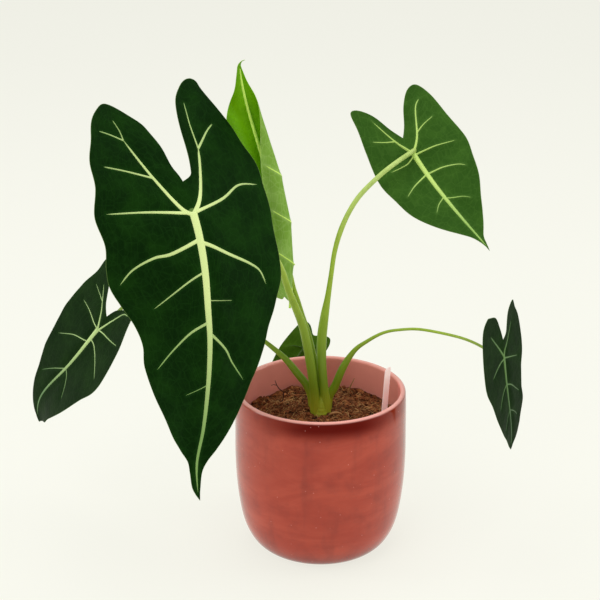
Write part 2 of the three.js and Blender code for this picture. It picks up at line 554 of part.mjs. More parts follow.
/** Height of the soil at a place: a low mound with seeded lumps. */
const lumps = (() => {
  const random = seeded(SEED);
  return Array.from({ length: 46 }, () => {
    const a = random() * 2 * Math.PI, r = 62 * Math.sqrt(random());
    return [r * Math.cos(a), r * Math.sin(a), 3 + 5 * random(), (random() - 0.35) * 3.4];
  });
})();
function soilHeight(x, y) {
  const r = Math.hypot(x, y);
  let z = SOIL_EDGE_Z + SOIL_MOUND * (0.5 + 0.5 * Math.cos(Math.min(r / 66, 1) * Math.PI));
  for (const [lx, ly, size, rise] of lumps) {
    z += rise * Math.exp(-((x - lx) ** 2 + (y - ly) ** 2) / (size * size));
  }
  return z;
}

function innerRadius(z) {
  const wall = [...POT_INNER].reverse();
  for (let i = 0; i + 1 < wall.length; i += 1) {
    if (z <= wall[i + 1][1]) {
      const f = (z - wall[i][1]) / (wall[i + 1][1] - wall[i][1]);
      return wall[i][0] + (wall[i + 1][0] - wall[i][0]) * f;
    }
  }
  return wall[wall.length - 1][0];
}

function soilBody() {
  const segments = 36;
  const inset = SOIL_GAP + 0.35;
  const bottoms = POT_INNER.slice().reverse().filter(([, z]) => z < SOIL_EDGE_Z - 8);
  const profile = [[0, POT_FLOOR + SOIL_GAP], ...bottoms.map(([r, z]) => [r - inset, z + SOIL_GAP])];
  const mesh = { points: [], faces: [] };
  const rings = [];
  for (const [r, z] of profile) {
    const ring = [];
    if (r === 0) { mesh.points.push([0, 0, z]); ring.push(0); }
    else for (let i = 0; i < segments; i += 1) {
      const a = (2 * Math.PI * i) / segments;
      mesh.points.push([r * Math.cos(a), r * Math.sin(a), z]);
      ring.push(mesh.points.length - 1);
    }
    rings.push(ring);
  }
  for (const f of [1, 0.9, 0.78, 0.65, 0.51, 0.37, 0.23]) {
    const ring = [];
    for (let i = 0; i < segments; i += 1) {
      const a = (2 * Math.PI * i) / segments;
      const r = (innerRadius(SOIL_EDGE_Z) - inset) * f;
      const x = r * Math.cos(a), y = r * Math.sin(a);
      mesh.points.push([x, y, soilHeight(x, y)]);
      ring.push(mesh.points.length - 1);
    }
    rings.push(ring);
  }
  mesh.points.push([0, 0, soilHeight(0, 0)]);
  rings.push([mesh.points.length - 1]);
  for (let k = 0; k + 1 < rings.length; k += 1) {
    const [a, b] = [rings[k], rings[k + 1]];
    for (let i = 0; i < segments; i += 1) {
      const j = (i + 1) % segments;
      if (a.length === 1) mesh.faces.push([a[0], b[j], b[i]]);
      else if (b.length === 1) mesh.faces.push([a[i], a[j], b[0]]);
      else mesh.faces.push([a[i], a[j], b[j]], [a[i], b[j], b[i]]);
    }
  }
  return toManifold(mesh);
}

/** Crown with the old leaf bases round it and its roots running out into the soil. */
function crownBody(grow) {
  const random = seeded(SEED + 1);
  const rings = STUMP.map(([r, z]) => [r + grow, z]);
  const profile = [[0, STUMP[0][1] - grow], ...rings, [0, STUMP[STUMP.length - 1][1] + 1 + grow]];
  const { points, faces } = lathe(profile, 16);
  let body = toManifold({ points: points.map(([x, y, z]) => [x, y * 1.25 + 2.2, z]), faces });
  for (let i = 0; i < ROOTS; i += 1) {
    const a = (2 * Math.PI * (i + 0.6 * random())) / ROOTS;
    const c = Math.cos(a), s = Math.sin(a), l = ROOT_LENGTH * (0.8 + 0.35 * random());
    const z0 = 99 + 4 * random(), drop = 34 + 26 * random(), swing = 8 * (random() - 0.5);
    body = body.add(toManifold(tube([[2 * c, 2.2 + 2 * s, z0, 1.8 + grow],
      [14 * c, 2 + 14 * s, z0 - drop * 0.12, 1.4 + grow],
      [l * 0.62 * c - swing * s, 2 + l * 0.62 * s + swing * c, z0 - drop * 0.5, 1.0 + grow],
      [l * 0.9 * c, l * 0.9 * s, z0 - drop, 0.6 + grow]], 5, 2)));
  }
  return body;
}

function labelBody(grow) {
  const { width, thickness, length, bottom, lean, turn } = LABEL;
  const w = width / 2 + grow, t = thickness / 2 + grow;
  const top = length + grow;
  const outline = [[0, -grow], [w * 0.55, 9], [w, 15], [w, top - 3], [w - 2.4, top], [-w + 2.4, top],
    [-w, top - 3], [-w, 15], [-w * 0.55, 9]];
  const points = [];
  const tilt = rad(lean), az = rad(turn);
  for (const y of [-t, t]) {
    for (const [x, z] of outline) {
      const out = y + z * Math.sin(tilt), up = z * Math.cos(tilt);
      const across = [x * Math.cos(az) + out * Math.sin(az), x * Math.sin(az) - out * Math.cos(az)];
      points.push(add(bottom, [...across, up]));
    }
  }
  const n = outline.length, faces = [];
  for (let i = 1; i + 1 < n; i += 1) faces.push([0, i + 1, i], [n, n + i, n + i + 1]);
  for (let i = 0; i < n; i += 1) {
    const j = (i + 1) % n;
    faces.push([i, j, n + j], [i, n + j, n + i]);
  }
  return toManifold({ points, faces });
}

// ---- assembly -------------------------------------------------------------------
const group = new THREE.Group();
group.name = "potted_alocasia";
const finishes = {
  pot: new THREE.MeshStandardMaterial({ color: 0xb8503f, roughness: 0.35, metalness: 0.1 }),
  soil: new THREE.MeshStandardMaterial({ color: 0x3b2417, roughness: 0.95 }),
  crown: new THREE.MeshStandardMaterial({ color: 0x8a8f3c, roughness: 0.7 }),
  stalk: new THREE.MeshStandardMaterial({ color: 0xa9c05a, roughness: 0.5 }),
  blade: new THREE.MeshStandardMaterial({ color: 0x12331a, roughness: 0.55 }),
  young: new THREE.MeshStandardMaterial({ color: 0x4f9a1c, roughness: 0.5 }),
  label: new THREE.MeshStandardMaterial({ color: 0xf2dcdc, roughness: 0.4 }),
};
function put(name, geometry, finish) {
  const mesh = new THREE.Mesh(geometry, finishes[finish].clone());
  mesh.name = name;
  group.add(mesh);
}

const wall = [[0, 0], ...POT_OUTER, POT_LIP_TOP, ...POT_INNER, [0, POT_FLOOR]];
put("pot", toGeometry(lathe(wall, POT_SEGMENTS)), "pot");

let soil = soilBody().subtract(crownBody(FIT_GAP)).subtract(labelBody(FIT_GAP));
let crown = crownBody(0);
for (const leaf of LEAVES) {
  const cutter = toManifold(tube(stalkPath(leaf, FIT_GAP), 8, 2));
  soil = soil.subtract(cutter);
  crown = crown.subtract(cutter);
}
put("soil", fromManifold(soil), "soil");
put("crown_and_roots", fromManifold(crown), "crown");

for (const leaf of LEAVES) {
  const stalk = toManifold(tube(stalkPath(leaf, 0), 8, 2));
  put(`${leaf.name}_stalk_and_veins`, fromManifold(stalk.add(toManifold(ribsOf(leaf)))), "stalk");
  put(`${leaf.name}_blade`, toGeometry(bladeOf(leaf)), leaf.name === "leaf_b" ? "young" : "blade");
}
put("plant_label", fromManifold(labelBody(0)), "label");

export default group;
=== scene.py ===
"""Looks of a potted alocasia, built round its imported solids.

Sizes are millimetres in the classes below and become metres in the meshes.
"""

import logging
import math
from dataclasses import dataclass
from enum import Enum
from typing import Any, Optional, Sequence

import bpy
import numpy as np
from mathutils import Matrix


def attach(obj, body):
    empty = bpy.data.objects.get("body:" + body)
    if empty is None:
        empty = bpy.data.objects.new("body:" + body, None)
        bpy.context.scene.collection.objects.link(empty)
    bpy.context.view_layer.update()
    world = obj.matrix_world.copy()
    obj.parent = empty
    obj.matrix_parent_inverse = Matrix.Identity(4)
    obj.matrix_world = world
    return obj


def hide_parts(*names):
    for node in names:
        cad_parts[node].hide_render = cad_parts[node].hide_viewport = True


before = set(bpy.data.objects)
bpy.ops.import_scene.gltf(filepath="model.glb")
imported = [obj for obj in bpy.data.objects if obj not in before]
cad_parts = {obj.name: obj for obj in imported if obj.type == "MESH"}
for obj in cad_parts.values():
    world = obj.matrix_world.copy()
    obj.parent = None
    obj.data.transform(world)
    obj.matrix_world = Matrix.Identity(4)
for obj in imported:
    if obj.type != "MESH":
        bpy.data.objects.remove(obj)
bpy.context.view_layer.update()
LOG = logging.getLogger("potted_alocasia")
MM = 0.001
SEED = 7221
LATTICE = 64  # cells along each side of the table that the noise repeats
ASKEW = (0.31, 0.95, 0.02)  # a direction that no swept path starts in

# Flat half outlines in leaf lengths, from the tip past the lobe's end to the sinus at the stalk.
A_NEAR = ((0, 1), (0.021, 0.959), (0.029, 0.903), (0.037, 0.866), (0.062, 0.833), (0.099, 0.789),
          (0.135, 0.73), (0.182, 0.654), (0.215, 0.565), (0.219, 0.483), (0.244, 0.405), (0.285, 0.327),
          (0.321, 0.246), (0.33, 0.167), (0.327, 0.081), (0.35, -0.029), (0.334, -0.142), (0.341, -0.24),
          (0.321, -0.321), (0.299, -0.391), (0.255, -0.432), (0.213, -0.447), (0.165, -0.433),
          (0.112, -0.397), (0.058, -0.343), (0.028, -0.26), (0.02, -0.182), (0.006, -0.137), (0, -0.113))
A_FAR = ((0, 1), (0.005, 0.957), (0.012, 0.901), (0.03, 0.862), (0.058, 0.827), (0.087, 0.789),
         (0.119, 0.737), (0.159, 0.654), (0.199, 0.562), (0.227, 0.483), (0.25, 0.405), (0.286, 0.325),
         (0.32, 0.245), (0.328, 0.165), (0.329, 0.076), (0.352, -0.039), (0.368, -0.15), (0.343, -0.228),
         (0.333, -0.301), (0.295, -0.421), (0.291, -0.463), (0.258, -0.476), (0.206, -0.462),
         (0.141, -0.416), (0.101, -0.354), (0.073, -0.276), (0.057, -0.199), (0.038, -0.136), (0, -0.113))
B_NEAR = ((0, 1), (0.018, 0.92), (0.037, 0.85), (0.087, 0.75), (0.154, 0.58), (0.205, 0.42),
          (0.241, 0.27), (0.256, 0.12), (0.241, 0), (0.21, -0.055), (0.169, -0.09), (0.123, -0.1),
          (0.077, -0.095), (0.031, -0.085), (0, -0.08))
B_FAR = ((0, 1), (0.021, 0.92), (0.043, 0.85), (0.101, 0.75), (0.179, 0.58), (0.238, 0.42), (0.28, 0.27),
         (0.298, 0.12), (0.286, -0.02), (0.268, -0.11), (0.214, -0.17), (0.155, -0.165), (0.095, -0.14),
         (0.036, -0.1), (0, -0.08))
C_NEAR = ((0, 1), (0.015, 0.915), (0.036, 0.828), (0.098, 0.73), (0.19, 0.57), (0.272, 0.42),
          (0.322, 0.26), (0.358, 0.1), (0.341, -0.127), (0.324, -0.296), (0.276, -0.41), (0.2, -0.405),
          (0.118, -0.315), (0.05, -0.19), (0, -0.12))
C_FAR = ((0, 1), (0.011, 0.895), (0.035, 0.802), (0.08, 0.725), (0.188, 0.567), (0.268, 0.42),
         (0.309, 0.26), (0.34, 0.1), (0.316, -0.119), (0.29, -0.281), (0.28, -0.41), (0.205, -0.41),
         (0.112, -0.33), (0.042, -0.2), (0, -0.12))
D_NEAR = ((0, 1), (0.036, 0.922), (0.069, 0.843), (0.114, 0.733), (0.184, 0.566), (0.237, 0.418),
          (0.284, 0.268), (0.348, 0.109), (0.339, -0.119), (0.32, -0.288), (0.255, -0.362),
          (0.203, -0.367), (0.1, -0.338), (0.028, -0.228), (0, -0.14))
D_FAR = ((0, 1), (0.034, 0.932), (0.088, 0.858), (0.14, 0.73), (0.21, 0.569), (0.217, 0.418),
         (0.243, 0.251), (0.311, 0.103), (0.336, -0.089), (0.315, -0.236), (0.25, -0.335), (0.195, -0.41),
         (0.091, -0.346), (0.056, -0.203), (0, -0.14))
E_NEAR = ((0, 1), (0.026, 0.929), (0.052, 0.85), (0.097, 0.729), (0.162, 0.557), (0.225, 0.415),
          (0.273, 0.256), (0.308, 0.099), (0.311, -0.08), (0.282, -0.215), (0.265, -0.33),
          (0.205, -0.325), (0.127, -0.25), (0.05, -0.152), (0, -0.1))
E_FAR = ((0, 1), (0.06, 0.915), (0.105, 0.843), (0.14, 0.733), (0.196, 0.572), (0.244, 0.417),
         (0.292, 0.261), (0.352, 0.11), (0.315, -0.088), (0.277, -0.209), (0.255, -0.295), (0.2, -0.285),
         (0.125, -0.235), (0.035, -0.172), (0, -0.103))
SMALL = ((0, 1), (0.018, 0.9), (0.043, 0.82), (0.092, 0.72), (0.156, 0.56), (0.199, 0.42), (0.234, 0.26),
         (0.248, 0.1), (0.241, -0.1), (0.227, -0.26), (0.185, -0.38), (0.135, -0.37), (0.078, -0.3),
         (0.028, -0.23), (0, -0.21))

# A half is ruled from its skeleton to its outline. The skeleton runs from the tip (0) to the stalk, out to
# the lobe's end, back to the stalk and on to the sinus (5). Each pair is a place on it and the place that it
# is ruled to, counted in fourteenths of the outline.
STALK, LOBE_END, STALK_AGAIN = 1, 2.5, 4
RULING = ((0, 0), (0.09, 0.675), (0.64, 3.65), (0.88, 5.5), (0.975, 7.3), (1, 7.6), (1.45, 8.5), (1.92, 9.2),
          (2.38, 9.8), (2.5, 10.15), (2.62, 10.7), (3, 11.4), (3.5, 12.3), (4, 13.1), (4.55, 13.6), (5, 14))
OUTLINE_SPANS = 14
LOBE_TIP = 10  # the lobe's end on the outline, in the same fourteenths


class Age(Enum):
    """How far a leaf has grown, by the looks slot of its blade."""

    MATURE = "blade"
    YOUNG = "young_blade"


# ---- numpy helpers ---------------------------------------------------------------


def unit(v: np.ndarray) -> np.ndarray:
    """Each row divided by its own length."""
    return v / np.maximum(np.linalg.norm(v, axis=-1, keepdims=True), 1e-12)


def through(points: Sequence[Sequence[float]], s: np.ndarray) -> np.ndarray:
    """Catmull-Rom curve through rows of numbers.

    Each span is the usual cubic of its two ends and their two neighbours.

    Args:
        points: rows that the curve passes through.
        s: places along the curve, counted in rows.

    Returns:
        One row for each place.
    """
    p = np.asarray(points, float)
    n = len(p) - 1
    c = np.clip(np.asarray(s, float), 0, n - 1e-9)
    i = np.floor(c).astype(int)
    f = (c - i)[..., None]
    p0, p1, p2, p3 = p[np.maximum(i - 1, 0)], p[i], p[i + 1], p[np.minimum(i + 2, n)]
    bend = (2 * p0 - 5 * p1 + 4 * p2 - p3) * f**2 + (3 * p1 - p0 - 3 * p2 + p3) * f**3
    return 0.5 * (2 * p1 + (p2 - p0) * f + bend)


def sampled(points: Sequence[Sequence[float]], steps: int) -> np.ndarray:
    """Rows of the curve through the points, at so many even steps in each span."""
    spans = len(points) - 1
    return through(points, np.linspace(0, spans, spans * steps + 1))


def lattice_noise(x: np.ndarray, y: np.ndarray, cell: float, seed: int) -> np.ndarray:
    """Smooth noise: random corners of a square lattice, blended with a smoothstep between them.

    Args:
        x: first coordinate of each place, in millimetres.
        y: second coordinate.
        cell: side of a lattice square, in millimetres.
        seed: start of the random draws.

    Returns:
        A number from -1 to 1 for each place.
    """
    table = np.random.default_rng(seed).uniform(-1, 1, (LATTICE, LATTICE))
    u, v = x / cell, y / cell
    i, j = np.floor(u).astype(int), np.floor(v).astype(int)
    f, g = u - i, v - j
    f, g = f * f * (3 - 2 * f), g * g * (3 - 2 * g)
    here, there = i % LATTICE, (i + 1) % LATTICE
    low, high = j % LATTICE, (j + 1) % LATTICE
    a, b = table[here, low], table[there, low]
    c, d = table[here, high], table[there, high]
    return (a * (1 - f) + b * f) * (1 - g) + (c * (1 - f) + d * f) * g


def grid_faces(rows: int, columns: int, wrap: bool = False) -> np.ndarray:
    """Quads of a grid of points stored row by row; wrap closes each row on itself."""
    i = np.arange(rows - 1)[:, None]
    j = np.arange(columns if wrap else columns - 1)[None, :]
    k = (j + 1) % columns
    quads = np.stack([i * columns + j, i * columns + k, (i + 1) * columns + k, (i + 1) * columns + j], -1)
    return quads.reshape(-1, 4)


def whole(triangles: np.ndarray) -> np.ndarray:
    """The triangles that haven't lost an edge."""
    a, b, c = triangles.T
    return triangles[(a != b) & (b != c) & (a != c)]


def triangles_of(quads: np.ndarray) -> np.ndarray:
    """Each quad as two triangles, without those that have lost an edge."""
    return whole(np.concatenate([quads[:, [0, 1, 2]], quads[:, [0, 2, 3]]]))


def open_edges(triangles: np.ndarray, count: int) -> tuple[np.ndarray, np.ndarray]:
    """The two ends of each edge that only one triangle has, in its direction; count is of the points."""
    directed = np.concatenate([triangles[:, [0, 1]], triangles[:, [1, 2]], triangles[:, [2, 0]]])
    pairs = np.sort(directed, 1)
    _, index, times = np.unique(pairs[:, 0] * count + pairs[:, 1], return_index=True, return_counts=True)
    return tuple(directed[index[times == 1]].T)


def icosahedron() -> tuple[np.ndarray, np.ndarray]:
    """Its twelve corners at distance 1, from the golden ratio, and its twenty faces."""
    g = (1 + 5**0.5) / 2
    corners = [[-1, g, 0], [1, g, 0], [-1, -g, 0], [1, -g, 0], [0, -1, g], [0, 1, g],
               [0, -1, -g], [0, 1, -g], [g, 0, -1], [g, 0, 1], [-g, 0, -1], [-g, 0, 1]]
    faces = [[0, 11, 5], [0, 5, 1], [0, 1, 7], [0, 7, 10], [0, 10, 11], [1, 5, 9], [5, 11, 4],
             [11, 10, 2], [10, 7, 6], [7, 1, 8], [3, 9, 4], [3, 4, 2], [3, 2, 6], [3, 6, 8],
             [3, 8, 9], [4, 9, 5], [2, 4, 11], [6, 2, 10], [8, 6, 7], [9, 8, 1]]
    return unit(np.array(corners)), np.array(faces)


@dataclass
class Shell:
    """Points in millimetres with their triangles, and the values kept for each point."""

    points: np.ndarray
    triangles: np.ndarray
    slots: Optional[np.ndarray] = None
    values: Optional[dict[str, np.ndarray]] = None

    @staticmethod
    def joined(parts: Sequence["Shell"]) -> "Shell":
        """All parts in one shell, with the values that they all have."""
        starts = np.cumsum([0] + [len(p.points) for p in parts[:-1]])
        names = sorted(set.intersection(*[set(p.values or {}) for p in parts]))
        slots = [np.zeros(len(p.triangles), int) if p.slots is None else p.slots for p in parts]
        return Shell(
            np.concatenate([p.points for p in parts]),
            np.concatenate([p.triangles + s for p, s in zip(parts, starts)]),
            np.concatenate(slots),
            {n: np.concatenate([p.values[n] for p in parts]) for n in names},
        )

    def build(
        self, name: str, materials: Sequence[bpy.types.Material], sharp: bool = False
    ) -> bpy.types.Object:
        """Puts the shell into a mesh object at the origin.

        Args:
            name: the piece's name.
            materials: its materials, by slot.
            sharp: leaves its faces flat.

        Returns:
            The object, linked to the scene.
        """
        mesh = bpy.data.meshes.new(name)
        mesh.vertices.add(len(self.points))
        mesh.vertices.foreach_set("co", (self.points * MM).astype(np.float32).ravel())
        mesh.loops.add(self.triangles.size)
        mesh.loops.foreach_set("vertex_index", self.triangles.astype(np.int32).ravel())
        mesh.polygons.add(len(self.triangles))
        mesh.polygons.foreach_set("loop_start", np.arange(0, self.triangles.size, 3, dtype=np.int32))
        for material in materials:
            mesh.materials.append(material)
        if self.slots is not None:
            mesh.polygons.foreach_set("material_index", self.slots.astype(np.int32))
        mesh.polygons.foreach_set("use_smooth", np.full(len(self.triangles), not sharp))
        mesh.update(calc_edges=True)
        for key, value in (self.values or {}).items():
            if value.ndim == 2:
                layer = mesh.uv_layers.new(name=key)
                layer.data.foreach_set("uv", value[self.triangles.ravel()].astype(np.float32).ravel())
            else:
                layer = mesh.attributes.new(key, "FLOAT", "POINT")
                layer.data.foreach_set("value", value.astype(np.float32))
        mesh.validate()
        piece = bpy.data.objects.new(name, mesh)
        bpy.context.scene.collection.objects.link(piece)
        return piece


def lofted(rings: np.ndarray, values: Optional[dict[str, np.ndarray]] = None) -> Shell:
    """A closed tube over rings of points, fanned shut at each end about the middle of its last ring.

    Args:
        rings: array of (ring, point on the ring, xyz).
        values: for each name an array of (ring, point on the ring).

    Returns:
        The tube with its faces outwards when the rings turn counter-clockwise seen from their far end.
    """
    n, m = rings.shape[:2]
    points = np.concatenate([rings.reshape(-1, 3), rings[:1].mean(1), rings[-1:].mean(1)])
    j = np.arange(m)
    k = (j + 1) % m
    first = np.stack([np.full(m, n * m), k, j], -1)
    last = np.stack([np.full(m, n * m + 1), (n - 1) * m + j, (n - 1) * m + k], -1)
    kept = {a: np.concatenate([v.ravel(), v[:1].mean(1), v[-1:].mean(1)]) for a, v in (values or {}).items()}
    return Shell(points, np.concatenate([triangles_of(grid_faces(n, m, wrap=True)), first, last]), None, kept)


def swept(path: np.ndarray, radii: np.ndarray, sides: int, swell: Optional[np.ndarray] = None) -> Shell:
    """A round tube carried along a path.

    The section's first direction is carried from point to point and made square to the path again at each.

    Args:
        path: its points.
        radii: the radius at each point.
        sides: points round the section.
        swell: factors on the radius, as (point, side).

    Returns:
        The closed tube, with "along" in millimetres from its start and "round" from 0 to 1.
    """
    direction = unit(np.gradient(path, axis=0))
    side = np.zeros_like(path)
    last = np.cross(direction[0], ASKEW)
    for i, d in enumerate(direction):
        last = last - d * (last @ d)
        last = last / np.linalg.norm(last)
        side[i] = last
    other = np.cross(direction, side)
    angle = np.linspace(0, 2 * np.pi, sides, endpoint=False)
    r = radii[:, None] * (swell if swell is not None else 1.0) * np.ones((1, sides))
    out = np.cos(angle)[None, :, None] * side[:, None] + np.sin(angle)[None, :, None] * other[:, None]
    rings = path[:, None] + r[..., None] * out
    along = np.concatenate([[0], np.cumsum(np.linalg.norm(np.diff(path, axis=0), axis=1))])
    turn = np.repeat((angle / (2 * np.pi))[None], len(path), 0)
    return lofted(rings, {"along": np.repeat(along[:, None], sides, 1), "round": turn})


def strand(rows: Sequence[Sequence[float]], steps: int, sides: int) -> Shell:
    """A round tube through rows of x, y, z and radius."""
    path = sampled(rows, steps)
    return swept(path[:, :3], path[:, 3], sides)


# ---- shader expressions -----------------------------------------------------------


def srgb(red: float, green: float, blue: float) -> tuple[float, float, float, float]:
    """A colour given as 0..255 screen values, in linear light."""
    c = [v / 255 for v in (red, green, blue)]
    return (*[v / 12.92 if v <= 0.04045 else ((v + 0.055) / 1.055) ** 2.4 for v in c], 1.0)


class Value:
    """A socket's number, so that shader maths reads as an expression."""

    def __init__(self, shader: "Shader", socket: bpy.types.NodeSocket) -> None:
        """Keeps the socket and the shader that it belongs to."""
        self.shader = shader
        self.socket = socket

    def _math(self, operation: str, *others: Any) -> "Value":
        """A Math node on this number and the others."""
        return self.shader.node("ShaderNodeMath", dict(enumerate((self, *others))), operation=operation)

    def __add__(self, other: Any) -> "Value":
        """Sum."""
        return self._math("ADD", other)

    __radd__ = __add__

    def __mul__(self, other: Any) -> "Value":
        """Product."""
        return self._math("MULTIPLY", other)

    __rmul__ = __mul__

    def __sub__(self, other: Any) -> "Value":
        """Difference."""
        return self._math("SUBTRACT", other)

    def __rsub__(self, other: float) -> "Value":
        """A plain number less this one."""
        return self.shader.node("ShaderNodeMath", {0: other, 1: self}, operation="SUBTRACT")

    def __truediv__(self, other: Any) -> "Value":
        """Quotient."""
        return self._math("DIVIDE", other)

    def sine(self) -> "Value":
        """Its sine, in radians."""
        return self._math("SINE")

    def between(self, low: float, high: float) -> "Value":
        """0 up to low, 1 from high, smooth between; low above high turns it round."""
        if low < high:
            edges = {0: self, 1: low, 2: high}
            return self.shader.node("ShaderNodeMapRange", edges, interpolation_type="SMOOTHSTEP")
        return 1.0 - self.between(high, low)


class Shader:
    """A node material that ends in one Principled shader."""

    def __init__(self, name: str, **constants: Any) -> None:
        """Starts a material; constants are set on the Principled shader's own sockets."""
        self.material = bpy.data.materials.new(name)
        self.material.use_nodes = True
        self.tree = self.material.node_tree
        self.tree.nodes.clear()
        output = self.tree.nodes.new("ShaderNodeOutputMaterial")
        self.surface = self.tree.nodes.new("ShaderNodeBsdfPrincipled")
        self.tree.links.new(self.surface.outputs[0], output.inputs[0])
        for socket, value in constants.items():
            self.surface.inputs[socket.replace("_", " ")].default_value = value

    def node(
        self, kind: str, inputs: Optional[dict[Any, Any]] = None, output: Any = 0, **settings: Any
    ) -> Value:
        """Adds any node.

        Args:
            kind: its type.
            inputs: for each input socket a value or a link.
            output: the output to give back.
            settings: its own settings, which are set first.

        Returns:
            The output.
        """
        made = self.tree.nodes.new(kind)
        for key, value in settings.items():
            setattr(made, key, value)
        for key, value in (inputs or {}).items():
            if isinstance(value, Value):
                self.tree.links.new(value.socket, made.inputs[key])
            else:
                made.inputs[key].default_value = value
        return Value(self, made.outputs[output])

    def feed(self, **inputs: Value) -> None:
        """Links varying values to the Principled shader's sockets."""
        for socket, value in inputs.items():
            self.tree.links.new(value.socket, self.surface.inputs[socket.replace("_", " ")])

    def place(self) -> Value:
        """Object coordinates, in metres."""
        return self.node("ShaderNodeTexCoord", output="Object")

    def uv(self, name: str) -> Value:
        """One of the piece's own UV maps."""
        return self.node("ShaderNodeUVMap", uv_map=name)

    def attribute(self, name: str) -> Value:
        """A number kept at each point of the piece."""
        return self.node("ShaderNodeAttribute", output="Fac", attribute_name=name)

    def noise(
        self, vector: Value, scale: float, detail: float = 3, roughness: float = 0.55, distortion: float = 0
    ) -> Value:
        """Noise from 0 to 1."""
        inputs = {"Vector": vector, "Scale": scale, "Detail": detail, "Roughness": roughness}
        return self.node("ShaderNodeTexNoise", {**inputs, "Distortion": distortion})

    def cells(self, vector: Value, scale: float, randomness: float, feature: str) -> Value:
        """Distances in a Voronoi pattern, to its cells' points or to their edges."""
        inputs = {"Vector": vector, "Scale": scale, "Randomness": randomness}
        return self.node("ShaderNodeTexVoronoi", inputs, feature=feature)

    def stretched(self, vector: Value, scale: tuple[float, float, float]) -> Value:
        """Coordinates scaled along their axes."""
        return self.node("ShaderNodeMapping", {"Vector": vector, "Scale": scale})

    def mix(self, factor: Any, a: Any, b: Any) -> Value:
        """Colour a turning into b."""
        return self.node("ShaderNodeMix", {0: factor, 6: a, 7: b}, output=2, data_type="RGBA")

    def bump(self, height: Value, distance: float, strength: float) -> Value:
        """A normal raised by height, where distance is in metres."""
        return self.node("ShaderNodeBump", {"Height": height, "Distance": distance, "Strength": strength})


# ---- finishes ------------------------------------------------------------------------


@dataclass(frozen=True)
class BladeFinish:
    """Skin of a blade: ground green, lighter patches, a fine network, and pale halos by veins and margin.

    The pairs are the distances, in millimetres, where a halo is gone and where it is full.
    """

    name: str
    ground: tuple
    patch: tuple
    network: tuple
    halo: tuple
    network_share: float
    roughness: float
    specular: float
    network_scale: float = 15.0
    wide_halo: tuple = (2.6, -0.3)
    narrow_halo: tuple = (0.3, -0.3)
    margin_halo: tuple = (0.5, 0.1)

    def material(self) -> bpy.types.Material:
        """Its node material.

        The piece keeps "vein" and "edge", the millimetres to the nearest vein and to the margin, "flat", the
        blade laid flat in tenths of a metre, and "flow", its place along the skeleton and in from the margin.
        """
        s = Shader(self.name, Roughness=self.roughness, Specular_IOR_Level=self.specular)
        flat, flow = s.uv("flat"), s.uv("flow")
        vein, edge = s.attribute("vein"), s.attribute("edge")
        clouds = s.noise(flat, 3.2, 4, 0.6)
        streaks = s.noise(s.stretched(flow, (1.0, 14.0, 1.0)), 3.0, 5, 0.62, 0.6)
        fine = s.noise(flat, 42, 4, 0.6)
        cells = s.cells(flat, self.network_scale, 0.9, "DISTANCE_TO_EDGE")
        patches = clouds.between(0.4, 0.68) * 0.55 + streaks.between(0.45, 0.75) * 0.45
        colour = s.mix(patches, self.ground, self.patch)
        colour = s.mix(cells.between(0.09, 0.0) * self.network_share, colour, self.network)
        colour = s.mix(fine.between(0.55, 0.8) * 0.25, colour, self.patch)
        colour = s.mix(vein.between(*self.wide_halo) * 0.3, colour, self.network)
        colour = s.mix(vein.between(*self.narrow_halo) * 0.8, colour, self.halo)
        colour = s.mix(edge.between(*self.margin_halo) * 0.7, colour, self.halo)
        height = cells.between(0.0, 0.12) * 0.5 + streaks * 0.35 + fine * 0.15
        rough = self.roughness + (fine - 0.5) * 0.12
        s.feed(Base_Color=colour, Roughness=rough, Normal=s.bump(height, 0.0004, 0.5))
        return s.material


@dataclass(frozen=True)
class StalkFinish:
    """Waxy skin of a stalk and its veins: green over a yellower foot, then paler and paler up to its top.

    The pairs are the places along the stalk, in millimetres from its start, between which a colour gives way
    to the next one up.
    """

    name: str
    tip: tuple
    pale: tuple
    green: tuple
    base: tuple
    vein: tuple
    faint: tuple
    to_green: tuple = (4, 34)
    to_pale: tuple = (20, 150)
    to_tip: tuple = (120, 230)
    grooves: int = 17

    def material(self) -> bpy.types.Material:
        """Its node material.

        "along" is millimetres from the stalk's start and "round" the share of a turn about it; "blade" is 1
        on the blade's own veins and "fade" is 1 at their ends.
        """
        s = Shader(self.name, Roughness=0.42, Coat_Weight=0.08, Coat_Roughness=0.3, Specular_IOR_Level=0.3)
        along, blade, turn = s.attribute("along"), s.attribute("blade"), s.attribute("round")
        lines = (turn * 2 * math.pi * self.grooves).sine() * 0.5 + 0.5
        blotch = s.noise(s.stretched(s.place(), (1, 1, 0.25)), 260, 3)
        colour = s.mix(along.between(*self.to_green), self.base, self.green)
        colour = s.mix(along.between(*self.to_pale), colour, self.pale)
        colour = s.mix(along.between(*self.to_tip) * 0.75, colour, self.tip)
        colour = s.mix(blotch.between(0.42, 0.7) * 0.25, colour, self.green)
        colour = s.mix(lines * 0.16, colour, self.green)
        colour = s.mix(blade, colour, s.mix(s.attribute("fade"), self.vein, self.faint))
        relief = lines * 0.35 * (1.0 - blade) + blotch * 0.65
        s.feed(Base_Color=colour, Roughness=0.36 + blotch * 0.16, Normal=s.bump(relief, 0.0003, 0.5))
        return s.material


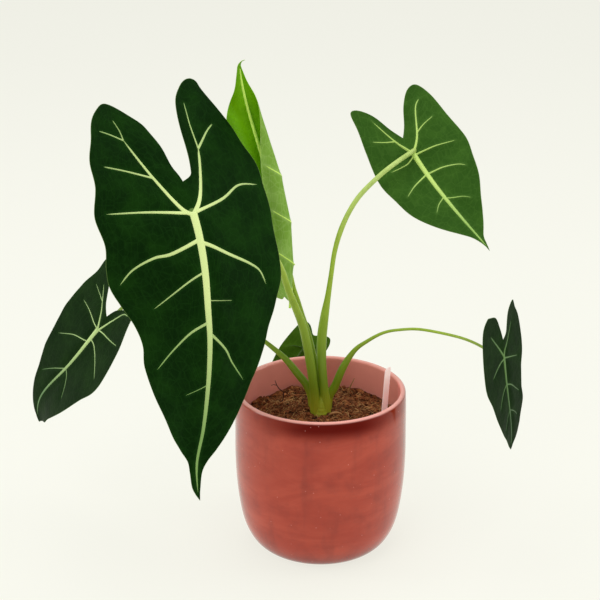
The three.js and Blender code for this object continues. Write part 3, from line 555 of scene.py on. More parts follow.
@dataclass(frozen=True)
class GlazeFinish:
    """Satin red glaze: pink inside, pale pink on the lip where the glaze thins and partly a painted highlight
    there, dark and less glossy in a band on the front under the lip.

    The band starts and is full at two depths under the rim, and fades out between two places on its left and
    two on its right; foot is how high the painted shade at the pot's foot reaches. All are millimetres.
    """

    name: str
    body: tuple
    deep: tuple
    warm: tuple
    lip: tuple
    inside: tuple
    height: float
    band: tuple = (21, 6)
    band_left: tuple = (-76, -8)
    band_right: tuple = (84, 26)
    foot: float = 22

    def material(self) -> bpy.types.Material:
        """Its node material; "inner" is 1 on the wall's inside and "lip" is 1 on the rounded rim."""
        s = Shader(self.name, Roughness=0.4, Coat_Weight=1.0, Coat_Roughness=0.14, Specular_IOR_Level=0.0)
        place = s.place()
        x = s.node("ShaderNodeSeparateXYZ", {0: place}, output="X") / MM
        z = s.node("ShaderNodeSeparateXYZ", {0: place}, output="Z") / MM
        inner, lip = s.attribute("inner"), s.attribute("lip")
        pool = s.noise(s.stretched(place, (14, 14, 46)), 1.0, 4, 0.6, 0.5)
        mottle = s.noise(place, 70, 5, 0.6)
        grain = s.noise(place, 700, 3)
        throwing = s.noise(s.stretched(place, (2, 2, 300)), 1.0, 3)
        drips = s.noise(s.stretched(place, (60, 60, 9)), 1.0, 3)
        specks = s.cells(place, 150.0, 1.0, "F1")
        band = z.between(*[self.height - depth for depth in self.band])
        band = band * x.between(*self.band_left) * x.between(*self.band_right)
        colour = s.mix(pool.between(0.38, 0.66), self.body, self.warm)
        colour = s.mix(mottle.between(0.45, 0.75) * 0.22, colour, self.deep)
        colour = s.mix(drips.between(0.52, 0.72) * 0.22, colour, self.deep)
        colour = s.mix(band * 0.97, colour, self.deep)
        # painted shade: the wall darkens towards the floor over the height foot, most at the bottom edge
        colour = s.mix(z.between(self.foot, 0) * 0.75, colour, self.deep)
        colour = s.mix(specks.between(0.085, 0.03) * 0.35, colour, self.lip)
        colour = s.mix(inner * (0.86 + mottle * 0.2), colour, self.inside)
        # the lip's pale pink: glaze thinning on the rim, and partly a painted highlight along it
        colour = s.mix(lip * 0.9, colour, self.lip)
        relief = pool * 0.35 + throwing * 0.3 + grain * 0.12 + mottle * 0.2
        s.feed(Base_Color=colour, Roughness=0.34 + mottle * 0.14 + inner * 0.1, Coat_Weight=1.0 - band * 0.9,
               Normal=s.bump(relief, 0.0006, 0.3))
        return s.material


@dataclass(frozen=True)
class EarthFinish:
    """Loose potting mix, rough, from dark to rust brown; scale is of its coarse grain, to a metre."""

    name: str
    dark: tuple
    brown: tuple
    rust: tuple
    scale: float = 240.0

    def material(self) -> bpy.types.Material:
        """Its node material: noise at three sizes of grain mixes the three colours."""
        s = Shader(self.name, Roughness=0.95, Specular_IOR_Level=0.1)
        place = s.place()
        coarse, fine = s.noise(place, self.scale, 6, 0.7), s.noise(place, self.scale * 5, 4, 0.7)
        patch = s.noise(place, self.scale * 0.35, 3)
        colour = s.mix(coarse.between(0.35, 0.65), self.dark, self.brown)
        colour = s.mix(patch.between(0.5, 0.7) * 0.6, colour, self.rust)
        colour = s.mix(fine.between(0.62, 0.75) * 0.5, colour, self.rust)
        s.feed(Base_Color=colour, Normal=s.bump(coarse * 0.7 + fine * 0.3, 0.0015, 0.9))
        return s.material


@dataclass(frozen=True)
class PlainFinish:
    """A surface of one colour with slight clouding and a fine grain: grain to a metre, depth in metres; glow
    is the strength of painted light, a glow in its own colour though the surface is no lamp.
    """

    name: str
    colour: tuple
    shade: tuple
    roughness: float
    glow: float = 0.0
    grain: float = 300.0
    depth: float = 0.0003

    def material(self) -> bpy.types.Material:
        """Its node material."""
        # a glow above 0 is painted light: the surface shines though it is no lamp
        s = Shader(self.name, Roughness=self.roughness, Specular_IOR_Level=0.3, Emission_Color=self.colour,
                   Emission_Strength=self.glow)
        place = s.place()
        clouds, grain = s.noise(place, self.grain * 0.2, 4), s.noise(place, self.grain, 4)
        colour = s.mix(clouds.between(0.35, 0.7), self.colour, self.shade)
        rough = self.roughness + (grain - 0.5) * 0.15
        s.feed(Base_Color=colour, Roughness=rough, Normal=s.bump(grain, self.depth, 0.5))
        return s.material


@dataclass(frozen=True)
class Skin:
    """The finishes of one leaf."""

    upper: BladeFinish
    under: BladeFinish
    stalk: StalkFinish


def greens(
    name: str, ground: tuple, patch: tuple, network: tuple, halo: tuple,
    share: float = 0.12, roughness: float = 0.55, specular: float = 0.02,
) -> BladeFinish:
    """A blade finish from screen colours."""
    colours = [srgb(*c) for c in (ground, patch, network, halo)]
    return BladeFinish(name, *colours, share, roughness, specular)


def stalks(name: str, vein: tuple, faint: tuple) -> StalkFinish:
    """A stalk finish from its veins' screen colours; the stalk itself has the plant's common greens."""
    common = ((206, 228, 140), (166, 194, 58), (118, 150, 24), (172, 184, 44))
    return StalkFinish(name, *[srgb(*c) for c in (*common, vein, faint)])


DEEP = greens("deep_upper", (10, 36, 6), (24, 60, 12), (36, 78, 26), (110, 140, 74))
SHADED = greens("shaded_upper", (18, 38, 13), (32, 56, 22), (44, 72, 34), (88, 122, 62))
PALE_UNDER = greens("matt_under", (48, 84, 26), (66, 106, 36), (86, 126, 52), (124, 152, 82), 0.16, 0.62)
FRESH = greens("young_upper", (98, 158, 0), (112, 176, 6), (132, 190, 30), (176, 214, 76), 0.12, 0.42, 0.05)
FRESH_UNDER = greens("young_under", (122, 164, 60), (162, 200, 104), (176, 210, 124), (196, 220, 130), 0.2)
LOW = greens("low_upper", (50, 80, 12), (70, 104, 20), (78, 112, 32), (84, 116, 38))
SKINS = {
    "leaf_a": Skin(DEEP, PALE_UNDER, stalks("bold_veins", (222, 240, 158), (132, 170, 90))),
    "leaf_b": Skin(FRESH, FRESH_UNDER, stalks("young_veins", (222, 255, 112), (204, 242, 104))),
    "leaf_c": Skin(DEEP, PALE_UNDER, stalks("under_veins", (206, 236, 124), (150, 190, 90))),
    "leaf_d": Skin(SHADED, PALE_UNDER, stalks("dim_veins", (96, 134, 64), (52, 90, 42))),
    "leaf_e": Skin(SHADED, PALE_UNDER, stalks("soft_veins", (196, 222, 144), (92, 132, 74))),
    "leaf_f": Skin(LOW, LOW, stalks("hidden_veins", (70, 100, 34), (50, 82, 24))),
}
POT_HEIGHT = 138
# deep also paints the shade at the pot's foot.
# lip is pale pink where the glaze thins on the rim, and partly a painted highlight.
GLAZE = GlazeFinish("red_glaze", srgb(170, 52, 26), srgb(96, 14, 6), srgb(186, 68, 42), srgb(255, 184, 172),
                    srgb(255, 166, 152), POT_HEIGHT)
EARTH = EarthFinish("potting_mix", srgb(34, 17, 10), srgb(124, 74, 42), srgb(188, 122, 72))
CRUMB = EarthFinish("bark_crumbs", srgb(58, 30, 18), srgb(158, 92, 54), srgb(216, 150, 94), 500.0)
FIBRE = PlainFinish("soil_fibre", srgb(214, 164, 104), srgb(140, 90, 52), 0.8)
ROOTLET = PlainFinish("dry_root", srgb(70, 40, 26), srgb(40, 22, 15), 0.8)
STRAW = PlainFinish("straw_root", srgb(176, 132, 84), srgb(140, 96, 54), 0.8)
CROWN_ROOT = PlainFinish("crown_root", srgb(140, 128, 60), srgb(92, 84, 30), 0.7)
# The label's glow is painted light: it shines in its own colour, to brighten it in the pot's shade.
TAG = PlainFinish("label_plastic", srgb(252, 228, 222), srgb(246, 212, 206), 0.4, 0.22)


# ---- leaves ----------------------------------------------------------------------------


@dataclass(frozen=True)
class Vein:
    """A raised vein: half width in millimetres where it starts and where it ends, and its flat course."""

    start: float
    end: float
    course: tuple


def fan(width: float, rows: Sequence[float], half: float, side: float = 0.5) -> tuple[Vein, ...]:
    """Veins of a small leaf: a midrib, and on each half a lobe vein and side veins that rise to the tip.

    Args:
        width: how far the lowest side veins would reach from the midrib, in leaf lengths.
        rows: where the side veins leave the midrib, in leaf lengths from the stalk.
        half: half width of the midrib where it starts, in millimetres.
        side: half width of a side vein where it starts, as a share of the midrib's.

    Returns:
        The veins.
    """
    veins = [Vein(half, half * 0.3, ((0, 0), (0, 0.5), (0, 0.94)))]
    for reach in (width, -width):
        lobe = ((0, 0), (reach * 0.32, -0.05), (reach * 0.62, -0.13))
        veins.append(Vein(half * 0.7, half * 0.25, lobe))
        for y in rows:
            x = reach * (1 - 0.75 * y)
            veins.append(Vein(half * side, half * 0.2, ((0, y), (x * 0.55, y + 0.04), (x, y + 0.12))))
    return tuple(veins)


A_VEINS = (
    Vein(3.1, 0.6, ((0, 0), (0, 0.17), (-0.002, 0.33), (-0.01, 0.44), (-0.014, 0.6), (-0.01, 0.75),
                    (0.006, 0.87), (0.004, 0.97))),
    Vein(1.9, 0.9, ((0, 0.01), (0.036, -0.021), (0.101, -0.148), (0.169, -0.305))),
    Vein(0.9, 0.5, ((0.101, -0.148), (0.199, -0.188), (0.281, -0.216))),
    Vein(0.7, 0.4, ((0.169, -0.305), (0.223, -0.333), (0.266, -0.35))),
    Vein(0.6, 0.4, ((0.169, -0.305), (0.172, -0.345), (0.186, -0.385))),
    Vein(1.5, 0.5, ((0.01, 0.002), (0.154, -0.023), (0.305, -0.038))),
    Vein(1.8, 1.0, ((0, 0.01), (-0.04, -0.043), (-0.086, -0.137), (-0.129, -0.23))),
    Vein(0.8, 0.4, ((-0.129, -0.23), (-0.146, -0.317), (-0.178, -0.4))),
    Vein(1.0, 0.4, ((-0.129, -0.23), (-0.206, -0.285), (-0.256, -0.311))),
    Vein(1.3, 0.5, ((-0.01, 0.003), (-0.143, -0.044), (-0.245, -0.093), (-0.337, -0.094))),
    Vein(1.6, 0.5, ((0, 0.1), (0.104, 0.138), (0.168, 0.146), (0.241, 0.18), (0.287, 0.233))),
    Vein(1.6, 0.5, ((0, 0.11), (-0.098, 0.152), (-0.19, 0.187), (-0.235, 0.215), (-0.256, 0.262))),
    Vein(0.9, 0.4, ((0, 0.212), (0.052, 0.239), (0.113, 0.282), (0.18, 0.335))),
    Vein(1.1, 0.4, ((0, 0.385), (0.056, 0.421), (0.115, 0.488), (0.171, 0.568))),
    Vein(1.1, 0.4, ((-0.01, 0.42), (-0.071, 0.476), (-0.101, 0.522), (-0.154, 0.587))),
    Vein(0.4, 0.2, ((-0.01, 0.31), (-0.097, 0.313))),
    Vein(0.4, 0.2, ((-0.008, 0.6), (0.06, 0.641))),
)
C_VEINS = (
    Vein(2.5, 0.5, ((0, 0), (0, 0.5), (0, 0.95))),
    Vein(1.3, 0.5, ((0, 0.01), (-0.037, -0.055), (-0.07, -0.117), (-0.157, -0.311))),
    Vein(0.7, 0.35, ((-0.07, -0.117), (-0.155, -0.142), (-0.235, -0.174))),
    Vein(1.3, 0.5, ((0, 0.01), (0.052, -0.038), (0.099, -0.103), (0.179, -0.261), (0.235, -0.31))),
    Vein(0.7, 0.35, ((0.099, -0.103), (0.168, -0.133), (0.254, -0.153))),
    Vein(0.9, 0.35, ((0.005, 0.025), (0.152, 0.043), (0.29, 0.089))),
    Vein(0.9, 0.35, ((-0.005, 0.025), (-0.09, 0.062), (-0.223, 0.069))),
    Vein(0.9, 0.35, ((0, 0.185), (0.112, 0.205), (0.205, 0.254), (0.246, 0.301))),
    Vein(0.9, 0.35, ((0, 0.183), (-0.125, 0.225), (-0.222, 0.28))),
    Vein(0.7, 0.3, ((0, 0.405), (0.092, 0.471), (0.136, 0.529))),
    Vein(0.7, 0.3, ((0, 0.39), (-0.068, 0.43), (-0.118, 0.486))),
)
D_VEINS = (
    Vein(1.2, 0.3, ((0, 0), (0.008, 0.24), (0.006, 0.5), (0, 0.8), (0, 0.93))),
    Vein(0.9, 0.4, ((0, 0), (-0.02, -0.055), (-0.085, -0.125), (-0.17, -0.23))),
    Vein(0.9, 0.4, ((0, 0), (0.045, -0.075), (0.11, -0.15), (0.179, -0.221))),
    Vein(0.7, 0.3, ((0, 0.01), (-0.103, 0.05), (-0.218, 0.105))),
    Vein(0.7, 0.3, ((0.005, 0.02), (0.112, 0.048), (0.203, 0.086))),
    Vein(0.7, 0.3, ((0.008, 0.242), (-0.056, 0.288), (-0.168, 0.438))),
    Vein(0.7, 0.3, ((0.008, 0.24), (0.09, 0.3), (0.15, 0.38))),
    Vein(0.5, 0.2, ((0.004, 0.5), (-0.05, 0.56), (-0.1, 0.65))),
    Vein(0.5, 0.2, ((0.004, 0.5), (0.05, 0.56), (0.1, 0.65))),
)
E_VEINS = (
    Vein(1.9, 0.4, ((0, 0), (0, 0.1), (-0.004, 0.36), (0.015, 0.72), (0.01, 0.93))),
    Vein(0.85, 0.35, ((0, 0), (0.046, -0.085), (0.093, -0.132), (0.169, -0.202))),
    Vein(0.5, 0.2, ((0.093, -0.132), (0.226, -0.153))),
    Vein(0.85, 0.35, ((-0.005, 0), (-0.045, -0.103), (-0.117, -0.202), (-0.184, -0.232))),
    Vein(0.6, 0.25, ((0.005, -0.002), (0.132, -0.018), (0.228, -0.015))),
    Vein(0.6, 0.25, ((-0.005, 0), (-0.15, -0.049), (-0.25, -0.087))),
    Vein(0.6, 0.25, ((0, 0.1), (0.11, 0.175), (0.206, 0.301))),
    Vein(0.6, 0.25, ((0, 0.075), (-0.127, 0.089), (-0.262, 0.127))),
    Vein(0.5, 0.2, ((0, 0.36), (0.055, 0.45), (0.115, 0.573))),
    Vein(0.5, 0.2, ((0, 0.35), (-0.086, 0.403), (-0.138, 0.464))),
)
B_VEINS = fan(0.22, (0.02, 0.2, 0.4), 2.8, 0.25)
F_VEINS = fan(0.2, (0.02, 0.24, 0.5), 0.8)


HOOK_START, HOOK_SPAN = 0.945, 0.045  # where the midrib's hook starts and over what length it turns
LAST_CURL = -0.2  # how far back behind the stalk the curl still changes, in leaf lengths
STEPS_A_LENGTH, LEAST_STEP = 150, 0.55  # steps of a blade's mesh in a leaf length, and the shortest one
SPAN_SAMPLES = 12  # places that measure the lines between two knots
WIDEST_HALF = 0.38  # of a leaf length, what the ruled lines are long at most
CROWDING = 1.12  # power that draws the steps of a ruled line towards the skeleton
FLOW_MM = 30  # millimetres from the margin that make one unit of "flow"
WELD = 1_000_000  # points closer than a leaf length over this are one
VEIN_STEPS, VEIN_POINT = 14, 0.12  # steps of a vein in each span, and the share of it that runs to a point
RIB_SIDES, STALK_SIDES = 14, 24
VEIN_ALONG = 300  # the blade's veins count as this far up the stalk, beyond its last change of colour
VEINS_FROM, VEINS_SPAN = 0.96, 0.04  # where the stalk takes on its veins' look, and over what share of it
FADE_REACH, FADE_START, FADE_SHARE = 0.75, 0.35, 0.3  # how the veins' look fades outward and by half width


@dataclass
class Leaf:
    """One leaf: a flat outline bent into space, its veins, and the stalk that carries it.

    Index 0 of a pair is the half with x above 0. The turn as a whole is in degrees, the bending in radians,
    the flat outline and the veins' courses in leaf lengths, and the rest in millimetres.

    Attributes:
        length: from the stalk's end to the tip, along the midrib.
        heading, dip, roll: turn of the blade as a whole.
        droop, tip_curl, back: turn of the midrib down, evenly, by the cube towards the tip, and on the lobes.
        bow, bow_tip, hook: its turn sideways, evenly, by the cube towards the tip, and at the very tip.
        fold, curl: rise of a half by the midrib, and bending of it out to the margin, at the stalk.
        fold_rise, curl_rise: what they gain over a leaf length.
        twist: turn of the cross section about the midrib over a leaf length.
        puff: lift of the skin between the veins, within puff_reach of them.
        joint: how far behind the blade the stalk turns onto it.
        stalk: rows of x, y, z and radius from the crown to the joint; sheath widens it where it starts.
        ripple, ripple_cell: how much the puff varies, and the width of its lumps.
        furrow, furrow_width: depth and width of the skin's dip beside a vein.
        rib_rise, rib_rise_share: height of a raised vein over the skin, and what its half width adds to it.
        rib_depth, rib_depth_share: the same below the skin.
        joint_depth, joint_depth_share: what veins gain below by the stalk, and what the leaf's length adds.
        joint_spread: how far from the stalk they gain it, in leaf lengths.
        margin_share, margin_width: the margin's share of the full thickness, and how far in it thickens.
        groove, groove_width, ridge, ridges: the stalk's groove and ridges, as shares of its radius, the
            groove's width in radians, and how many ridges.
        crease: how far from the midrib a fold takes to reach its full slope, in leaf lengths.
        steps: midpoints used to add up the bending.
    """

    name: str
    length: float
    at: tuple[float, float, float]
    heading: float
    dip: float
    roll: float
    droop: float
    tip_curl: float
    back: float
    bow: float
    bow_tip: float
    fold: tuple[float, float]
    fold_rise: tuple[float, float]
    puff: float
    outline: tuple
    lobe_vein: tuple
    veins: tuple[Vein, ...]
    joint: float
    stalk: tuple
    curl: tuple[float, float] = (0.0, 0.0)
    curl_rise: tuple[float, float] = (0.0, 0.0)
    twist: float = 0.0
    age: Age = Age.MATURE
    steps: int = 24
    crease: float = 0.06
    half_thickness: float = 0.3
    margin_share: float = 0.35
    margin_width: float = 1.2
    sheath: float = 0.9
    rib_rise: float = 0.3
    hook: float = 0.0
    puff_reach: float = 8
    ripple: float = 0.12
    ripple_cell: float = 11
    furrow: float = 0.25
    furrow_width: float = 1.6
    rib_rise_share: float = 0.14
    rib_depth: float = 0.42
    rib_depth_share: float = 0.5
    joint_depth: float = 0.3
    joint_depth_share: float = 0.009
    joint_spread: float = 0.13
    groove: float = 0.07
    groove_width: float = 0.5
    ridge: float = 0.02
    ridges: int = 5

    def axes(self) -> tuple[np.ndarray, np.ndarray, np.ndarray]:
        """Tip direction, sideways direction and normal of the upper face."""
        az, dip, roll = (math.radians(v) for v in (self.heading, self.dip, self.roll))
        a = np.array([math.cos(az) * math.cos(dip), math.sin(az) * math.cos(dip), -math.sin(dip)])
        n0 = np.array([math.cos(az) * math.sin(dip), math.sin(az) * math.sin(dip), math.cos(dip)])
        n = n0 * math.cos(roll) + np.cross(a, n0) * math.sin(roll)
        return a, np.cross(a, n), n

    def pitch(self, v: np.ndarray) -> np.ndarray:
        """Turn of the midrib down from its start, by place along it."""
        return np.where(v > 0, self.droop * v + self.tip_curl * v**3, self.back * v)

    def yaw(self, v: np.ndarray) -> np.ndarray:
        """Turn of the midrib sideways, by place along it."""
        end = self.hook * np.clip((v - HOOK_START) / HOOK_SPAN, 0, 1)
        return self.bow * v + np.where(v > 0, self.bow_tip * v**3, 0) + end

    def bent(self, x: np.ndarray, y: np.ndarray, h: Any) -> np.ndarray:
        """Places flat points in space.

        The midrib turns by pitch and yaw as it runs, each section across it turns by fold and curl, and both
        are added up by the midpoint rule; the section is then turned about the midrib by twist.

        Args:
            x: across, in leaf lengths.
            y: along from the stalk, in leaf lengths.
            h: height over the blade's middle, in millimetres.

        Returns:
            Points in millimetres.
        """
        x, y, h = np.broadcast_arrays(np.asarray(x, float), np.asarray(y, float), np.asarray(h, float))
        side = np.where(x > 0, 0, 1)
        w, sign = np.abs(x), np.sign(x)
        m = (np.arange(self.steps) + 0.5) / self.steps
        ym, wm = y[..., None] * m, w[..., None] * m
        p, q = self.pitch(ym), self.yaw(ym)
        fold = np.array(self.fold)[side] + np.array(self.fold_rise)[side] * y
        curl = np.array(self.curl)[side] + np.array(self.curl_rise)[side] * np.maximum(y, LAST_CURL)
        slope = fold[..., None] * np.minimum(wm / self.crease, 1) + curl[..., None] * wm
        end = fold * np.minimum(w / self.crease, 1) + curl * w
        lat = np.cos(slope).mean(-1) * w * self.length * sign - sign * np.sin(end) * h
        rise = np.sin(slope).mean(-1) * w * self.length + np.cos(end) * h
        turn = self.twist * y
        lat, rise = lat * np.cos(turn) - rise * np.sin(turn), lat * np.sin(turn) + rise * np.cos(turn)
        P, Y, k = self.pitch(y), self.yaw(y), y * self.length
        along = (np.cos(p) * np.cos(q)).mean(-1) * k - lat * np.sin(Y) + rise * np.sin(P) * np.cos(Y)
        aside = (np.cos(p) * np.sin(q)).mean(-1) * k + lat * np.cos(Y) + rise * np.sin(P) * np.sin(Y)
        above = -np.sin(p).mean(-1) * k + rise * np.cos(P)
        a, b, n = self.axes()
        return np.array(self.at) + along[..., None] * a + aside[..., None] * b + above[..., None] * n

    def rim(self, side: int, s: np.ndarray) -> np.ndarray:
        """Points of a half's outline, by place in fourteenths of its rows."""
        points = self.outline[side]
        return through(points, np.asarray(s, float) * (len(points) - 1) / OUTLINE_SPANS)

    def skeleton(self, side: int, q: np.ndarray) -> np.ndarray:
        """Flat points of the skeleton: down the midrib, along the lobe vein and back, then to the sinus.

        Along a lobe vein they run straight to its fork, then straight halfway to the lobe's end.
        """
        fork = np.array(self.lobe_vein[side], float)
        end = (fork + self.rim(side, LOBE_TIP)) / 2
        u = np.clip(np.where(q < LOBE_END, q - STALK, STALK_AGAIN - q), 0, LOBE_END - STALK)[..., None]
        lobe = np.where(u <= 1, fork * u, fork + (end - fork) * (u - 1) / 0.5)
        sinus = self.outline[side][-1][1]
        y = np.where(q <= STALK, STALK - q, sinus * (q - STALK_AGAIN))
        middle = np.stack([np.zeros_like(q), y], -1)
        return np.where(((q <= STALK) | (q >= STALK_AGAIN))[..., None], middle, lobe)

    def ruled(self, side: int, q: np.ndarray, t: np.ndarray) -> np.ndarray:
        """Flat points a share t of the way from the skeleton to the margin, still with x above 0."""
        foot = self.skeleton(side, q)
        return foot + (self.rim(side, np.interp(q, *np.transpose(RULING))) - foot) * t[..., None]

    def stations(self, step: float) -> np.ndarray:
        """Places on the skeleton where lines are ruled.

        Between two knots their count is the longest of the margins and the skeleton there, over step, and the
        inner side of a lobe vein mirrors its outer side.
        """
        knots = [q for q, _ in RULING if q <= LOBE_END or q >= STALK_AGAIN]
        places = [0.0]
        for low, high in zip(knots[:-1], knots[1:]):
            if low == LOBE_END:
                places += [2 * LOBE_END - v for v in places[-2::-1] if v >= STALK]
                continue
            spans = [(low, high)]
            if STALK < high <= LOBE_END:
                spans.append((2 * LOBE_END - high, 2 * LOBE_END - low))
            longest = 0.0
            for side in (0, 1):
                for ends in spans:
                    u = np.linspace(*ends, SPAN_SAMPLES)
                    for line in (self.ruled(side, u, np.ones_like(u)), self.skeleton(side, u)):
                        run = float(np.linalg.norm(np.diff(line, axis=0), axis=1).sum())
                        longest = max(longest, run)
            n = max(2, math.ceil(longest * self.length / step))
            places += list(np.linspace(low, high, n + 1)[1:])
        return np.array(places)

    def vein_lines(self) -> list[tuple[np.ndarray, np.ndarray]]:
        """Centre lines of the raised veins, as flat points, with half widths in leaf lengths.

        A half width changes evenly from start to end, and over the last stretch shrinks to a point.
        """
        lines = []
        for vein in self.veins:
            spans = len(vein.course) - 1
            f = np.linspace(0, 1, spans * VEIN_STEPS + 1)
            half = (vein.start + (vein.end - vein.start) * f) * np.clip((1 - f) / VEIN_POINT, 0.1, 1) ** 0.6
            lines.append((through(vein.course, f * spans), half / self.length))
        return lines

    def vein_distance(self, flat: np.ndarray) -> np.ndarray:
        """Millimetres from each flat point to the edge of the nearest raised vein, below 0 inside it."""
        best = np.full(len(flat), 1e9)
        for points, half in self.vein_lines():
            d = np.hypot(flat[:, None, 0] - points[None, :, 0], flat[:, None, 1] - points[None, :, 1]) - half
            best = np.minimum(best, d.min(1))
        return best * self.length

    def sheet(self) -> tuple[np.ndarray, np.ndarray, np.ndarray, np.ndarray]:
        """The blade laid flat: each half ruled from skeleton to margin, and both joined along the midrib.

        Returns:
            Points in leaf lengths, their millimetres from the margin, their "flow", and triangles facing up.
        """
        step = max(self.length / STEPS_A_LENGTH, LEAST_STEP)
        q = self.stations(step)
        t = np.linspace(0, 1, int(self.length * WIDEST_HALF / step) + 8) ** CROWDING
        Q, T = (v.ravel() for v in np.meshgrid(q, t, indexing="ij"))
        parts = []
        for side, sign in ((0, 1), (1, -1)):
            span = np.linalg.norm(self.ruled(side, q, np.ones_like(q)) - self.skeleton(side, q), axis=-1)
            edge = (1 - T) * np.repeat(span, len(t)) * self.length
            parts.append((self.ruled(side, Q, T) * [sign, 1], edge, np.stack([Q, edge / FLOW_MM], -1)))
        flat, edge, flow = (np.concatenate(p) for p in zip(*parts))
        quads = triangles_of(grid_faces(len(q), len(t)))
        faces = np.concatenate([quads[:, ::-1], quads + len(Q)])
        key = np.round(flat * WELD).astype(np.int64)
        key = key[:, 0] * 10 * WELD + key[:, 1]
        _, first, group = np.unique(key, return_index=True, return_inverse=True)
        return flat[first], edge[first], flow[first], whole(group.ravel()[faces])

    def lift(self, flat: np.ndarray, vein: np.ndarray) -> np.ndarray:
        """Height of the skin's middle over the bent sheet.

        It rises by puff, as 1 - exp(-distance from a vein / puff_reach), with a slight ripple, and dips
        beside a vein as a bell curve. The ripple's draws differ from leaf to leaf.
        """
        size, away = flat * self.length, np.maximum(vein, 0)
        ripple = self.ripple * lattice_noise(size[:, 0], size[:, 1], self.ripple_cell, SEED + len(flat))
        puffed = self.puff * (1 + ripple) * (1 - np.exp(-away / self.puff_reach))
        return puffed - self.furrow * np.exp(-((away / self.furrow_width) ** 2))

    def blade(self) -> Shell:
        """The blade as a thin closed body: the sheet's upper and under side, joined round the margin.

        Its thickness falls evenly to margin_share over margin_width.
        """
        flat, edge, flow, faces = self.sheet()
        vein = self.vein_distance(flat)
        lift = self.lift(flat, vein)
        inside = np.clip(edge / self.margin_width, 0, 1)
        thin = self.half_thickness * (self.margin_share + (1 - self.margin_share) * inside)
        m = len(flat)
        up = self.bent(flat[:, 0], flat[:, 1], lift + thin)
        low = self.bent(flat[:, 0], flat[:, 1], lift - thin)
        a, b = open_edges(faces, m)
        wall = np.concatenate([np.stack([a, a + m, b + m], -1), np.stack([a, b + m, b], -1)])
        triangles = np.concatenate([faces, faces[:, ::-1] + m, wall])
        slots = np.repeat([0, 1, 0], [len(faces), len(faces), len(wall)])
        values = {"vein": vein, "edge": edge, "flat": flat * self.length / 100, "flow": flow}
        both = {name: np.concatenate([value, value]) for name, value in values.items()}
        return Shell(np.concatenate([up, low]), triangles, slots, both)

    def ribs(self) -> list[Shell]:
        """The raised veins: lens-shaped sections carried along the vein lines.

        They stand low above the skin and reach deeper below it, deepest by the stalk, as a bell curve of the
        distance from it.
        """
        shells = []
        angle = np.linspace(0, 2 * np.pi, RIB_SIDES, endpoint=False)
        for points, half in self.vein_lines():
            d = unit(np.gradient(points, axis=0))
            wide = half * self.length
            r = np.hypot(points[:, 0], points[:, 1])
            up = (self.rib_rise + self.rib_rise_share * wide)[:, None]
            joint = self.joint_depth + self.length * self.joint_depth_share
            near_stalk = np.exp(-((r / self.joint_spread) ** 2))
            down = (self.rib_depth + self.rib_depth_share * wide + joint * near_stalk)[:, None]
            across = np.cos(angle)[None] * half[:, None]
            h = np.where(np.sin(angle) > 0, np.sin(angle) * up, np.sin(angle) * down)
            rings = self.bent(points[:, :1] - d[:, 1:] * across, points[:, 1:] + d[:, :1] * across, h)
            ones = np.ones(rings.shape[:2])
            fade = np.clip(r / FADE_REACH + FADE_START - FADE_SHARE * wide, 0, 1)[:, None] * ones
            values = {"along": VEIN_ALONG * ones, "round": 0 * ones, "blade": ones, "fade": fade}
            shells.append(lofted(rings, values))
        return shells

    def petiole(self) -> Shell:
        """The stalk: a round tube through its points, ending where the veins meet.

        Its radius has a groove, as a bell curve of the angle, and slight ridges, as a sine.
        """
        n = self.axes()[2]
        top = self.stalk[-1][3]
        tip = top * abs(math.sin(min(*self.fold, 0))) + 1.0
        rows = [list(p) for p in self.stalk]
        rows[0][3] = rows[2][3] + self.sheath
        rows[1][3] = rows[2][3] + 0.8 * self.sheath
        ends = ((self.joint, top), (tip, top * 0.96), (0.3, top * 0.7))
        rows += [[*(np.array(self.at) - n * depth), r] for depth, r in ends]
        path = sampled(rows, 12)
        angle = np.linspace(0, 2 * np.pi, STALK_SIDES, endpoint=False)
        groove = self.groove * np.exp(-((np.minimum(angle, 2 * np.pi - angle) / self.groove_width) ** 2))
        swell = np.repeat((1 + self.ridge * np.sin(angle * self.ridges) - groove)[None], len(path), 0)
        shell = swept(path[:, :3], path[:, 3], STALK_SIDES, swell)
        place = np.concatenate([np.repeat(np.linspace(0, 1, len(path)), STALK_SIDES), [0, 1]])
        shell.values["blade"] = np.clip((place - VEINS_FROM) / VEINS_SPAN, 0, 1)
        shell.values["fade"] = 0 * place
        return shell

    def build(self, palette: "Palette") -> list[bpy.types.Object]:
        """Makes the blade and the stalk with its veins, in place of the two solids of this leaf."""
        skin = SKINS[self.name]
        sides = [palette.of(skin.upper), palette.of(skin.under)]
        blade = self.blade().build(f"{self.name}_blade_skin", sides)
        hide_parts(f"{self.name}_blade")
        veins = Shell.joined([self.petiole(), *self.ribs()])
        stalk = veins.build(f"{self.name}_stalk_and_vein_skin", [palette.of(skin.stalk)])
        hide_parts(f"{self.name}_stalk_and_veins")
        return [blade, stalk]


class Palette:
    """Makes each finish's material once."""

    def __init__(self) -> None:
        """Starts with no materials."""
        self.made: dict[str, bpy.types.Material] = {}

    def of(self, finish: Any) -> bpy.types.Material:
        """The finish's material."""
        if finish.name not in self.made:
            self.made[finish.name] = finish.material()
        return self.made[finish.name]


